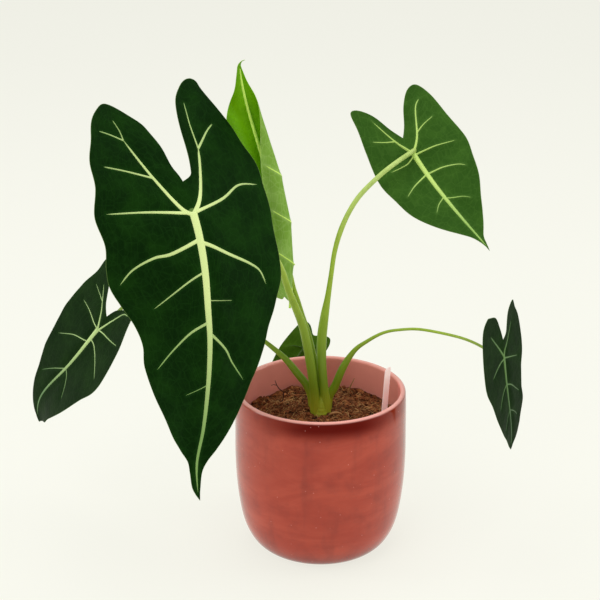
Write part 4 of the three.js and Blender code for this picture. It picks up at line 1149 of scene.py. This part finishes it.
LEAVES = [
    Leaf(
        name="leaf_a", length=215.4, at=(-95.1, -75, 310.7), heading=-62.6, dip=48.7, roll=6.3,
        droop=1.354, tip_curl=-1.092, back=-0.13, bow=0.611, bow_tip=-0.462,
        fold=(0.116, -0.465), fold_rise=(-1.202, 0.051),
        outline=(A_NEAR, A_FAR), lobe_vein=((0.185, -0.3), (0.143, -0.238)), veins=A_VEINS, puff=2.6,
        joint=16,
        stalk=(
            (-4.3, -2.4, 112, 1.7), (-4.6, -2.8, 126, 2.6), (-6, -4, 142, 3.7), (-9.2, -5, 166, 3.8),
            (-14.4, -9, 193.6, 3.4), (-20, -13, 211.6, 3.1), (-24.4, -16, 224.1, 2.9),
            (-27.9, -19, 235.6, 2.7), (-31.1, -23, 247.4, 2.6), (-37.4, -29, 260.9, 2.6),
            (-50.5, -37, 274.4, 2.6), (-66.1, -44, 285.1, 2.6), (-84, -50, 296, 2.6),
        ),
    ),
    Leaf(
        name="leaf_b", length=185.9, at=(-34.4, 31, 228.6), heading=207.6, dip=-94.9, roll=-134.1,
        droop=-0.561, tip_curl=0.264, back=-0.486, bow=-0.753, bow_tip=0.759, hook=1.1, twist=-1.462,
        steps=72,
        fold=(-0.034, -1.535), fold_rise=(0.396, 0.053), curl=(11.79, 0.557), curl_rise=(22.12, 0.774),
        outline=(B_NEAR, B_FAR), lobe_vein=((0.12, -0.075), (0.13, -0.12)), veins=B_VEINS, puff=0.8,
        joint=5, rib_rise=1.2, age=Age.YOUNG,
        stalk=(
            (-0.6, 4.6, 112, 1.3), (-0.8, 5, 127, 1.7), (-3, 8, 150, 2.1), (-9.2, 13, 177.2, 2.2),
            (-15.1, 20, 193.8, 2.1), (-18.6, 24, 204.5, 2), (-22.2, 29, 214, 2), (-25.2, 36, 224.3, 2),
            (-28.8, 41, 229, 2),
        ),
    ),
    Leaf(
        name="leaf_c", length=123.5, at=(76, 80, 314.8), heading=-43, dip=46.1, roll=-145.2,
        droop=0.788, tip_curl=0, back=0.266, bow=0.066, bow_tip=-0.267,
        fold=(-0.154, -0.325), fold_rise=(-0.538, 0.34),
        outline=(C_NEAR, C_FAR), lobe_vein=((0.187, -0.3), (0.187, -0.3)), veins=C_VEINS, puff=1.2,
        joint=3.2,
        stalk=(
            (3.9, -1.6, 112, 1.7), (3.7, -1.6, 126, 2.6), (2.1, -1.2, 142, 3.8), (0.6, 1, 160, 4),
            (0.7, 4, 179, 4.1), (2.7, 8, 196, 3.6), (5.6, 14, 212, 2.5), (8.3, 20, 229, 2),
            (11.1, 27, 246, 2), (15.6, 30, 262, 2.2), (22.4, 34, 277, 2.1), (31.5, 39, 290, 2.1),
            (45.2, 44, 303, 2), (58, 52, 311.5, 2),
        ),
    ),
    Leaf(
        name="leaf_d", length=105.9, at=(146.5, -15, 171.6), heading=12.1, dip=80.4, roll=59.7,
        droop=0.441, tip_curl=0, back=-0.082, bow=-0.47, bow_tip=0.215,
        fold=(0.272, -0.335), fold_rise=(0.022, 0.153),
        outline=(D_NEAR, D_FAR), lobe_vein=((0.187, -0.28), (0.187, -0.28)), veins=D_VEINS, puff=1.0,
        joint=10,
        stalk=(
            (4.9, 5.2, 112, 1.5), (6.2, 5, 127, 2.2), (11.5, 4, 137, 3.5), (18.4, 3, 155, 3.1),
            (27, 2, 169.5, 2.1), (36, 1, 177.5, 1.6), (50, 0, 186, 1.3), (64, -2, 189.6, 1.2),
            (81, -4, 190.5, 1.2), (108, -6, 185.5, 1.2), (124, -6, 179.5, 1.2),
        ),
    ),
    Leaf(
        name="leaf_e", length=146.1, at=(-181.6, 10, 185.1), heading=-190.2, dip=52.7, roll=-71.5,
        droop=0.708, tip_curl=0, back=0.053, bow=0.51, bow_tip=-0.811,
        fold=(-0.487, 0.694), fold_rise=(0.281, -0.286),
        outline=(E_NEAR, E_FAR), lobe_vein=((0.187, -0.26), (0.187, -0.24)), veins=E_VEINS, puff=1.6,
        joint=10,
        stalk=(
            (-5.6, 4.4, 112, 1.4), (-7, 5, 127, 2.1), (-11.5, 6, 137.5, 3.3), (-19, 8, 147, 3.2),
            (-28, 10, 158, 2.7), (-38, 12, 167, 2.1), (-52, 15, 177, 1.7), (-78, 20, 191, 1.6),
            (-110, 26, 201, 1.5), (-140, 31, 203, 1.5), (-160, 34, 198, 1.5),
        ),
    ),
    Leaf(
        name="leaf_f", length=73, at=(-13, 92.3, 136), heading=222, dip=38.9, roll=139,
        droop=-0.14, tip_curl=0.2, back=-2.2, bow=0, bow_tip=0,
        fold=(0.12, 0.1), fold_rise=(0, 0), curl=(0.3, 0.3),
        outline=(SMALL, SMALL), lobe_vein=((0.12, -0.27), (0.12, -0.27)), veins=F_VEINS, puff=0.8,
        joint=10,
        stalk=(
            (0.6, 9.4, 112, 1.2), (0.2, 10.5, 126, 1.4), (-1.5, 17, 137, 1.5), (-4.5, 31, 147, 1.4),
            (-8, 49, 152.5, 1.3), (-10.5, 66, 151, 1.2), (-12, 76, 144, 1.2),
        ),
    ),
]


# ---- pot, soil, crown and label ------------------------------------------------------------


@dataclass
class Pot:
    """The glazed pot: one turned wall with a rounded lip, a flat floor and a flat underside.

    Its profile is rows of radius and height, from the middle of the underside to the middle of the floor.
    """

    segments: int = 176
    underside: tuple = ((0, 0), (30, 0), (39.5, 0))
    outer: tuple = ((41, 0), (49, 1.5), (55.3, 5.8), (60.4, 13.2), (64.6, 24), (67.6, 39.5), (69.7, 59),
                    (70.6, 82), (70.4, 104), (70.1, 122), (69.6, 134.6))
    lip: tuple = ((69.1, 136.9), (68.2, 137.8), (67.2, 138), (66.2, 137.8), (65.4, 137.1))
    inner: tuple = ((64.9, 134.8), (65.4, 122), (65.8, 104), (65.9, 82), (65, 59), (62.9, 39.5), (59.6, 24),
                    (54, 12.5), (44, 6))
    floor: tuple = ((40, 6), (0, 6))
    lip_middle: float = 12.9
    lip_inside: float = 13.2

    def build(self, palette: Palette) -> list[bpy.types.Object]:
        """Turns the profile about the pot's axis: radius and height are carried round a full circle.

        lip_middle and lip_inside are places on the profile, in rows from the start of outer: the lip's colour
        falls off from the one as a steep bell curve, and the inside's starts at the other.
        """
        knots = [*self.outer, *self.lip, *self.inner]
        s = np.linspace(0, len(knots) - 1, (len(knots) - 1) * 6 + 1)
        profile = np.concatenate([self.underside, through(knots, s), self.floor])
        under, floor = np.zeros(len(self.underside)), np.ones(len(self.floor))
        inner = np.concatenate([under, np.clip(s - self.lip_inside, 0, 1), floor])
        # the lip's colour: glaze thinning on the rim, and partly a painted highlight
        lip = np.concatenate([under, np.exp(-(((s - self.lip_middle) / 2.0) ** 6)), 0 * floor])
        a = np.linspace(0, 2 * np.pi, self.segments, endpoint=False)
        r, z = profile[1:-1, 0], np.clip(profile[1:-1, 1], 0, POT_HEIGHT)
        wide = np.ones((1, len(a)))
        rings = np.stack([r[:, None] * np.cos(a), r[:, None] * np.sin(a), z[:, None] * wide], -1)
        shell = lofted(rings, {"inner": inner[1:-1, None] * wide, "lip": lip[1:-1, None] * wide})
        pot = shell.build("pot_glazed", [palette.of(GLAZE)])
        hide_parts("pot")
        return [pot]


@dataclass
class Soil:
    """Potting mix: a lumpy mound that fills the pot, with crumbs, fibres, a dark root and pale ones on it.

    Attributes:
        edge_z: height of the mound's edge.
        mound: rise of its middle, over its reach from the edge.
        hollow: depth and width of the dip at the crown, and how far in front of the middle it lies.
        lumps: width and height of each size of lump.
        wall: radius and height where the soil touches the pot's inside, below its top.
        radius: radius of its top.
        crumb_size: smallest size of a crumb, and what the largest has over it.
        fibre_length, fibre_lift, fibre_radius: ranges of the fibres' length, rise and thickness.
        dark_root, straw_root: strands as rows of x, y, z and radius.
    """

    edge_z: float = 111
    mound: float = 8
    reach: float = 66
    hollow: tuple = (2.8, 13, 6)
    lumps: tuple = ((17, 2.1), (7, 1.5), (3.1, 0.8), (1.3, 0.35))
    wall: tuple = ((43, 6.4), (53.2, 12.9), (58.7, 24.3), (62.1, 39.8), (64.2, 59.3), (65.1, 82.3),
                   (65, 103.5))
    radius: float = 64.7
    crumbs: int = 2300
    crumb_size: tuple = (0.5, 1.5)
    fibres: int = 900
    fibre_length: tuple = (3, 9)
    fibre_lift: tuple = (0.3, 2.2)
    fibre_radius: tuple = (0.13, 0.3)
    dark_root: tuple = (
        ((-33, 19, 110, 0.5), (-31.5, 19.5, 117, 0.5), (-30.6, 20, 124.1, 0.45), (-34, 20.4, 127.5, 0.42),
         (-36.2, 20, 131, 0.36), (-37.7, 20, 135.4, 0.2)),
        ((-31, 20, 123, 0.3), (-28.6, 20.5, 126, 0.28), (-27, 20.8, 127.4, 0.16)),
        ((-36.2, 20, 131, 0.28), (-39, 20.2, 131.6, 0.24), (-41, 20.6, 130.6, 0.14)),
    )
    straw_root: tuple = (
        ((24, 40, 108, 0.6), (24.2, 40, 116, 0.6), (26, 40.2, 121.5, 0.55), (29.2, 40, 128.8, 0.3)),
        ((6, -9, 116, 0.8), (9, -10.5, 119.5, 1.0), (14, -9.5, 119.6, 1.0), (18.5, -7, 116, 0.7)),
    )

    def height(self, x: np.ndarray, y: np.ndarray) -> np.ndarray:
        """A cosine mound, hollowed at the crown as a bell curve, with lattice noise of each size of lump."""
        r = np.hypot(x, y)
        z = self.edge_z + self.mound * (0.5 + 0.5 * np.cos(np.minimum(r / self.reach, 1) * np.pi))
        depth, width, front = self.hollow
        z = z - depth * np.exp(-((np.hypot(x, y + front) / width) ** 2))
        for k, (cell, size) in enumerate(self.lumps):
            z = z + size * lattice_noise(x, y, cell, SEED + k)
        return z

    def bed(self) -> Shell:
        """The body of soil: rings up the inside of the wall, then rings inwards over the top."""
        a = np.linspace(0, 2 * np.pi, 260, endpoint=False)
        wall = np.array(self.wall)
        r = np.concatenate([wall[:, 0], np.linspace(self.radius, 0.8, 74)])
        x, y = r[:, None] * np.cos(a), r[:, None] * np.sin(a)
        z = self.height(x, y)
        z[:len(wall)] = wall[:, 1:2]
        return lofted(np.stack([x, y, z], -1))

    @staticmethod
    def scattered(rng: np.random.Generator, count: int, outer: float) -> tuple[np.ndarray, np.ndarray]:
        """Places spread evenly over a disc, except its very middle."""
        r, a = outer * np.sqrt(rng.uniform(0.01, 1, count)), rng.uniform(0, 2 * np.pi, count)
        return r * np.cos(a), r * np.sin(a)

    def crumb_shell(self, rng: np.random.Generator) -> Shell:
        """Crumbs: one rough icosahedron, stretched, turned, scaled and set down for each place."""
        corners, faces = icosahedron()
        n, m = self.crumbs, len(corners)
        x, y = self.scattered(rng, n, self.radius - 2.2)
        size = self.crumb_size[0] + self.crumb_size[1] * rng.uniform(0, 1, n) ** 2.4
        rough = corners[None] * rng.uniform(0.65, 1.25, (n, m, 1))
        shape = [rng.uniform(0.8, 2.0, n), rng.uniform(0.7, 1.1, n), rng.uniform(0.5, 0.9, n)]
        rough = rough * np.stack(shape, -1)[:, None]
        turn = rng.uniform(0, 2 * np.pi, n)
        c, s = np.cos(turn)[:, None], np.sin(turn)[:, None]
        u, v, w = (rough[..., k] for k in range(3))
        rough = np.stack([u * c - v * s, u * s + v * c, w], -1) * size[:, None, None]
        points = rough + np.stack([x, y, self.height(x, y) + size * 0.3], -1)[:, None]
        return Shell(points.reshape(-1, 3), (faces[None] + m * np.arange(n)[:, None, None]).reshape(-1, 3))

    def fibre_shell(self, rng: np.random.Generator) -> Shell:
        """Fibres: thin three-sided tubes on short random arcs that dip into the soil at their ends."""
        n, m = self.fibres, 9
        x, y = self.scattered(rng, n, self.radius - 9)
        t = np.linspace(-1, 1, m)
        length, turn = rng.uniform(*self.fibre_length, n), rng.uniform(0, 2 * np.pi, n)
        bend = rng.uniform(-1.1, 1.1, n)
        heading = turn[:, None] + bend[:, None] * t + 0.4 * np.sin(3 * t)[None] * rng.uniform(-1, 1, (n, 1))
        step = length[:, None] / (m - 1)
        east, north = np.cos(heading) * step, np.sin(heading) * step
        px = x[:, None] + np.cumsum(east, 1) - east.sum(1, keepdims=True) / 2
        py = y[:, None] + np.cumsum(north, 1) - north.sum(1, keepdims=True) / 2
        shrink = np.minimum(1, (self.radius - 1.5) / np.maximum(np.hypot(px, py), 1e-6))
        px, py = px * shrink, py * shrink
        pz = self.height(px, py) + rng.uniform(*self.fibre_lift, (n, 1)) * (1 - t[None] ** 2) + 0.1
        thick = rng.uniform(*self.fibre_radius, n)[:, None] * (1 - 0.6 * t[None] ** 2)
        a = np.arange(3) * 2 * np.pi / 3
        side = np.stack([-np.sin(heading), np.cos(heading), 0 * heading], -1)
        around = np.cos(a)[:, None] * side[:, :, None] + np.sin(a)[:, None] * np.array([0, 0, 1.0])
        rings = np.stack([px, py, pz], -1)[:, :, None] + thick[..., None, None] * around
        quads = grid_faces(m, 3, wrap=True)
        faces = np.concatenate([triangles_of(quads), [[0, 2, 1]], [[3 * m - 3, 3 * m - 2, 3 * m - 1]]])
        return Shell(rings.reshape(-1, 3), (faces[None] + 3 * m * np.arange(n)[:, None, None]).reshape(-1, 3))

    @staticmethod
    def strands(lines: Sequence[Sequence[Sequence[float]]]) -> Shell:
        """Round strands through rows of x, y, z and radius."""
        return Shell.joined([strand(line, 6, 7) for line in lines])

    def build(self, palette: Palette) -> list[bpy.types.Object]:
        """Makes the bed and what lies on it."""
        rng = np.random.default_rng(SEED)
        bed = self.bed().build("soil_bed", [palette.of(EARTH)])
        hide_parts("soil")
        crumbs = self.crumb_shell(rng).build("soil_crumbs", [palette.of(CRUMB)], sharp=True)
        fibres = self.fibre_shell(rng).build("soil_fibres", [palette.of(FIBRE)])
        root = self.strands(self.dark_root).build("soil_dry_root", [palette.of(ROOTLET)])
        straw = self.strands(self.straw_root).build("soil_straw_root", [palette.of(STRAW)])
        made = [bed, crumbs, fibres, root, straw]
        return made


@dataclass
class Crown:
    """The short crown that the stalks grow from, with its roots in the soil; profile is radius and height."""

    profile: tuple = ((5.5, 94), (9.2, 99), (10.2, 106), (9, 112), (8, 117), (7, 122), (5.8, 127),
                      (4.2, 131.5), (2.4, 135), (0.8, 137.5))
    soil_z: float = 112
    roots: int = 7
    root_length: float = 42

    def stump(self) -> Shell:
        """The crown's body: its radius follows the profile and is lobed where the stalks merge.

        The lobes are a cosine of five waves that grows with height, over a fine ribbing of twenty-three and
        rings that fade out above the soil.
        """
        p = through(self.profile, np.linspace(0, len(self.profile) - 1, 64))
        a = np.linspace(0, 2 * np.pi, 72, endpoint=False)
        up = np.clip((p[:, 1] - self.soil_z) / 20, 0, 1)[:, None]
        r = p[:, 0][:, None] * (1 + up * 0.09 * np.cos(a * 5 + 0.6)[None] + 0.012 * np.sin(a * 23)[None])
        r = r * (1 + 0.03 * np.sin(p[:, 1] * 2.1)[:, None] * (1 - up))
        z = np.repeat(p[:, 1][:, None], len(a), 1)
        rings = np.stack([r * np.cos(a), r * np.sin(a) * 1.2 + 1.0, z], -1)
        along = np.clip(z - self.soil_z, 0, 60)
        turn = np.repeat((a / (2 * np.pi))[None], len(p), 0)
        return lofted(rings, {"along": along, "round": turn, "blade": 0 * z, "fade": 0 * z})

    def root_shell(self) -> Shell:
        """Roots: round tubes that run out and down from the crown."""
        rng = np.random.default_rng(SEED + 5)
        shells = []
        for i in range(self.roots):
            a = 2 * math.pi * (i + 0.6 * rng.uniform()) / self.roots
            c, s, run = math.cos(a), math.sin(a), self.root_length * (0.8 + 0.3 * rng.uniform())
            z, drop, swing = 99 + 4 * rng.uniform(), 34 + 24 * rng.uniform(), 8 * (rng.uniform() - 0.5)
            bend = [run * 0.62 * c - swing * s, 2 + run * 0.62 * s + swing * c, z - drop * 0.5, 1.0]
            rows = [[2 * c, 2.2 + 2 * s, z, 1.8], [14 * c, 2 + 14 * s, z - drop * 0.12, 1.4], bend,
                    [run * 0.9 * c, run * 0.9 * s, z - drop, 0.5]]
            shells.append(strand(rows, 8, 9))
        return Shell.joined(shells)

    def build(self, palette: Palette) -> list[bpy.types.Object]:
        """Makes the crown and its roots."""
        stump = self.stump().build("crown_stump", [palette.of(SKINS["leaf_a"].stalk)])
        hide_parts("crown_and_roots")
        roots = self.root_shell().build("crown_roots", [palette.of(CROWN_ROOT)])
        return [stump, roots]


@dataclass
class Label:
    """A bare plastic plant label stuck in the soil by the wall; lean and turn are degrees."""

    width: float = 11
    thickness: float = 1.0
    length: float = 64
    corner: float = 3
    corner_cut: float = 2.4
    bottom: tuple = (51.5, 5.5, 89.5)
    lean: float = 3.5
    turn: float = 62
    point: tuple = ((0, 0.3), (9, 0.55), (15, 1))

    def build(self, palette: Palette) -> list[bpy.types.Object]:
        """Carries the label's rounded section from its point to its top with round corners.

        point holds heights with the share of the width there, and corner_cut is how far the round corners,
        which are near quarter circles, draw in.
        """
        square = self.length - self.corner
        heights, shares = np.transpose(self.point)
        top = square + self.corner * np.sin(np.linspace(0.15, 1, 8) * np.pi / 2)
        z = np.concatenate([np.linspace(0, 15, 10), np.linspace(20, square, 9), top])
        w = np.interp(z, heights, shares) * self.width / 2
        past = (z - self.length + self.corner).clip(0) / (self.corner + 0.05)
        w = w - self.corner_cut * (1 - np.sqrt(np.clip(1 - past**2, 0, 1)))
        a = np.linspace(0, 2 * np.pi, 28, endpoint=False)
        x = np.sign(np.cos(a)) * np.abs(np.cos(a)) ** 0.35 * w[:, None]
        y = np.sign(np.sin(a)) * np.abs(np.sin(a)) ** 0.5 * self.thickness / 2 * np.ones_like(w)[:, None]
        tilt, az = math.radians(self.lean), math.radians(self.turn)
        out = y + z[:, None] * math.sin(tilt)
        east = x * math.cos(az) + out * math.sin(az)
        north = x * math.sin(az) - out * math.cos(az)
        rings = np.array(self.bottom) + np.stack([east, north, z[:, None] * math.cos(tilt) + 0 * x], -1)
        tag = lofted(rings).build("bare_label", [palette.of(TAG)])
        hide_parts("plant_label")
        return [tag]


# ---- studio -----------------------------------------------------------------------------

LIGHTS_AIM = (0, 0, 0.18)  # metres: the middle of the plant


@dataclass
class Studio:
    """Pale floor, soft lights and the camera of the photograph.

    distance, elevation (degrees) and target (millimetres) place the camera; target_pixel is where the target
    falls in the frame, and focal_pixels is the lens's length, both in pixels of the 600 by 600 frame.
    """

    distance: float = 1200
    elevation: float = 23.8
    target: tuple = (0, 0, 138)
    target_pixel: tuple = (320.7, 387.4)
    focal_pixels: float = 1463.14
    frame_pixels: float = 600
    sensor: float = 36
    ground: tuple = srgb(244, 244, 234)
    shade: tuple = srgb(122, 122, 117)
    glow: float = 0.835
    floor_radius: float = 14000
    floor_z: float = -0.3
    floor_sides: int = 64

    def camera(self) -> None:
        """Looks from the photograph's place: the target falls on its pixel of the frame."""
        data = bpy.data.cameras.new("photo_camera")
        data.sensor_width, data.lens = self.sensor, self.sensor * self.focal_pixels / self.frame_pixels
        camera = bpy.data.objects.new("photo_camera", data)
        bpy.context.scene.collection.objects.link(camera)
        dx, dy = (p - self.frame_pixels / 2 for p in self.target_pixel)
        el, drop = math.radians(self.elevation), math.atan(dy / self.focal_pixels)
        x = -dx / self.focal_pixels * (self.distance * math.cos(drop))
        z = self.target[2] + self.distance * math.sin(el)
        camera.location = (x * MM, -self.distance * math.cos(el) * MM, z * MM)
        camera.rotation_euler = (math.pi / 2 - (el - drop), 0, 0)
        data.clip_start, data.clip_end = 0.05, 60
        bpy.context.scene.camera = camera

    def floor(self) -> None:
        """A wide pale floor, a disc fanned about its middle, that keeps a soft shadow under the pot."""
        n = self.floor_sides
        a = np.linspace(0, 2 * np.pi, n, endpoint=False)
        ring = np.stack([np.cos(a), np.sin(a), 0 * a], -1) * self.floor_radius
        points = np.concatenate([ring, [[0, 0, 0]]]) + [0, 0, self.floor_z]
        j = np.arange(n)
        s = Shader("studio_floor", Base_Color=self.shade, Roughness=0.9, Specular_IOR_Level=0.0,
                   Emission_Color=self.ground, Emission_Strength=self.glow)
        faces = np.stack([j, (j + 1) % n, np.full(n, n)], -1)
        Shell(points, faces).build("studio_floor", [s.material])

    def lights(self) -> None:
        """A large soft key from the front left, two tall side panels and a top panel, all facing the pot.

        Each has its place in metres, its width and height in metres, and its power in watts.
        """
        plan = [("key", (-0.9, -1.3, 1.7), (1.3, 1.3), 11), ("left_panel", (-1.6, 0.1, 0.7), (0.7, 1.5), 7),
                ("right_panel", (1.6, 0.0, 0.7), (0.7, 1.5), 7), ("top", (0.1, 0.3, 2.1), (1.4, 1.4), 14)]
        for name, place, (width, height), power in plan:
            data = bpy.data.lights.new(name, "AREA")
            data.shape, data.size, data.size_y, data.energy = "RECTANGLE", width, height, power
            lamp = bpy.data.objects.new(name, data)
            bpy.context.scene.collection.objects.link(lamp)
            lamp.location = place
            east, north, up = np.array(place) - LIGHTS_AIM
            lamp.rotation_euler = (math.atan2(math.hypot(east, north), up), 0, math.atan2(east, -north))

    def build(self) -> None:
        """Sets the stage."""
        scene = bpy.context.scene
        scene.view_settings.view_transform = "Standard"
        world = bpy.data.worlds.new("studio_world")
        world.use_nodes = True
        background = world.node_tree.nodes["Background"]
        background.inputs["Color"].default_value = (0.93, 0.93, 0.91, 1)
        background.inputs["Strength"].default_value = 0.55
        scene.world = world
        self.camera()
        self.floor()
        self.lights()


def main() -> None:
    """Builds every sub-assembly in order."""
    logging.basicConfig(level=logging.INFO, format="%(name)s: %(message)s")
    palette = Palette()
    Studio().build()
    for part in (Pot(), Soil(), Crown(), Label(), *LEAVES):
        for piece in part.build(palette):
            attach(piece, "root")
            LOG.info("%s: %d triangles", piece.name, len(piece.data.polygons))


if __name__ == "__main__":
    main()
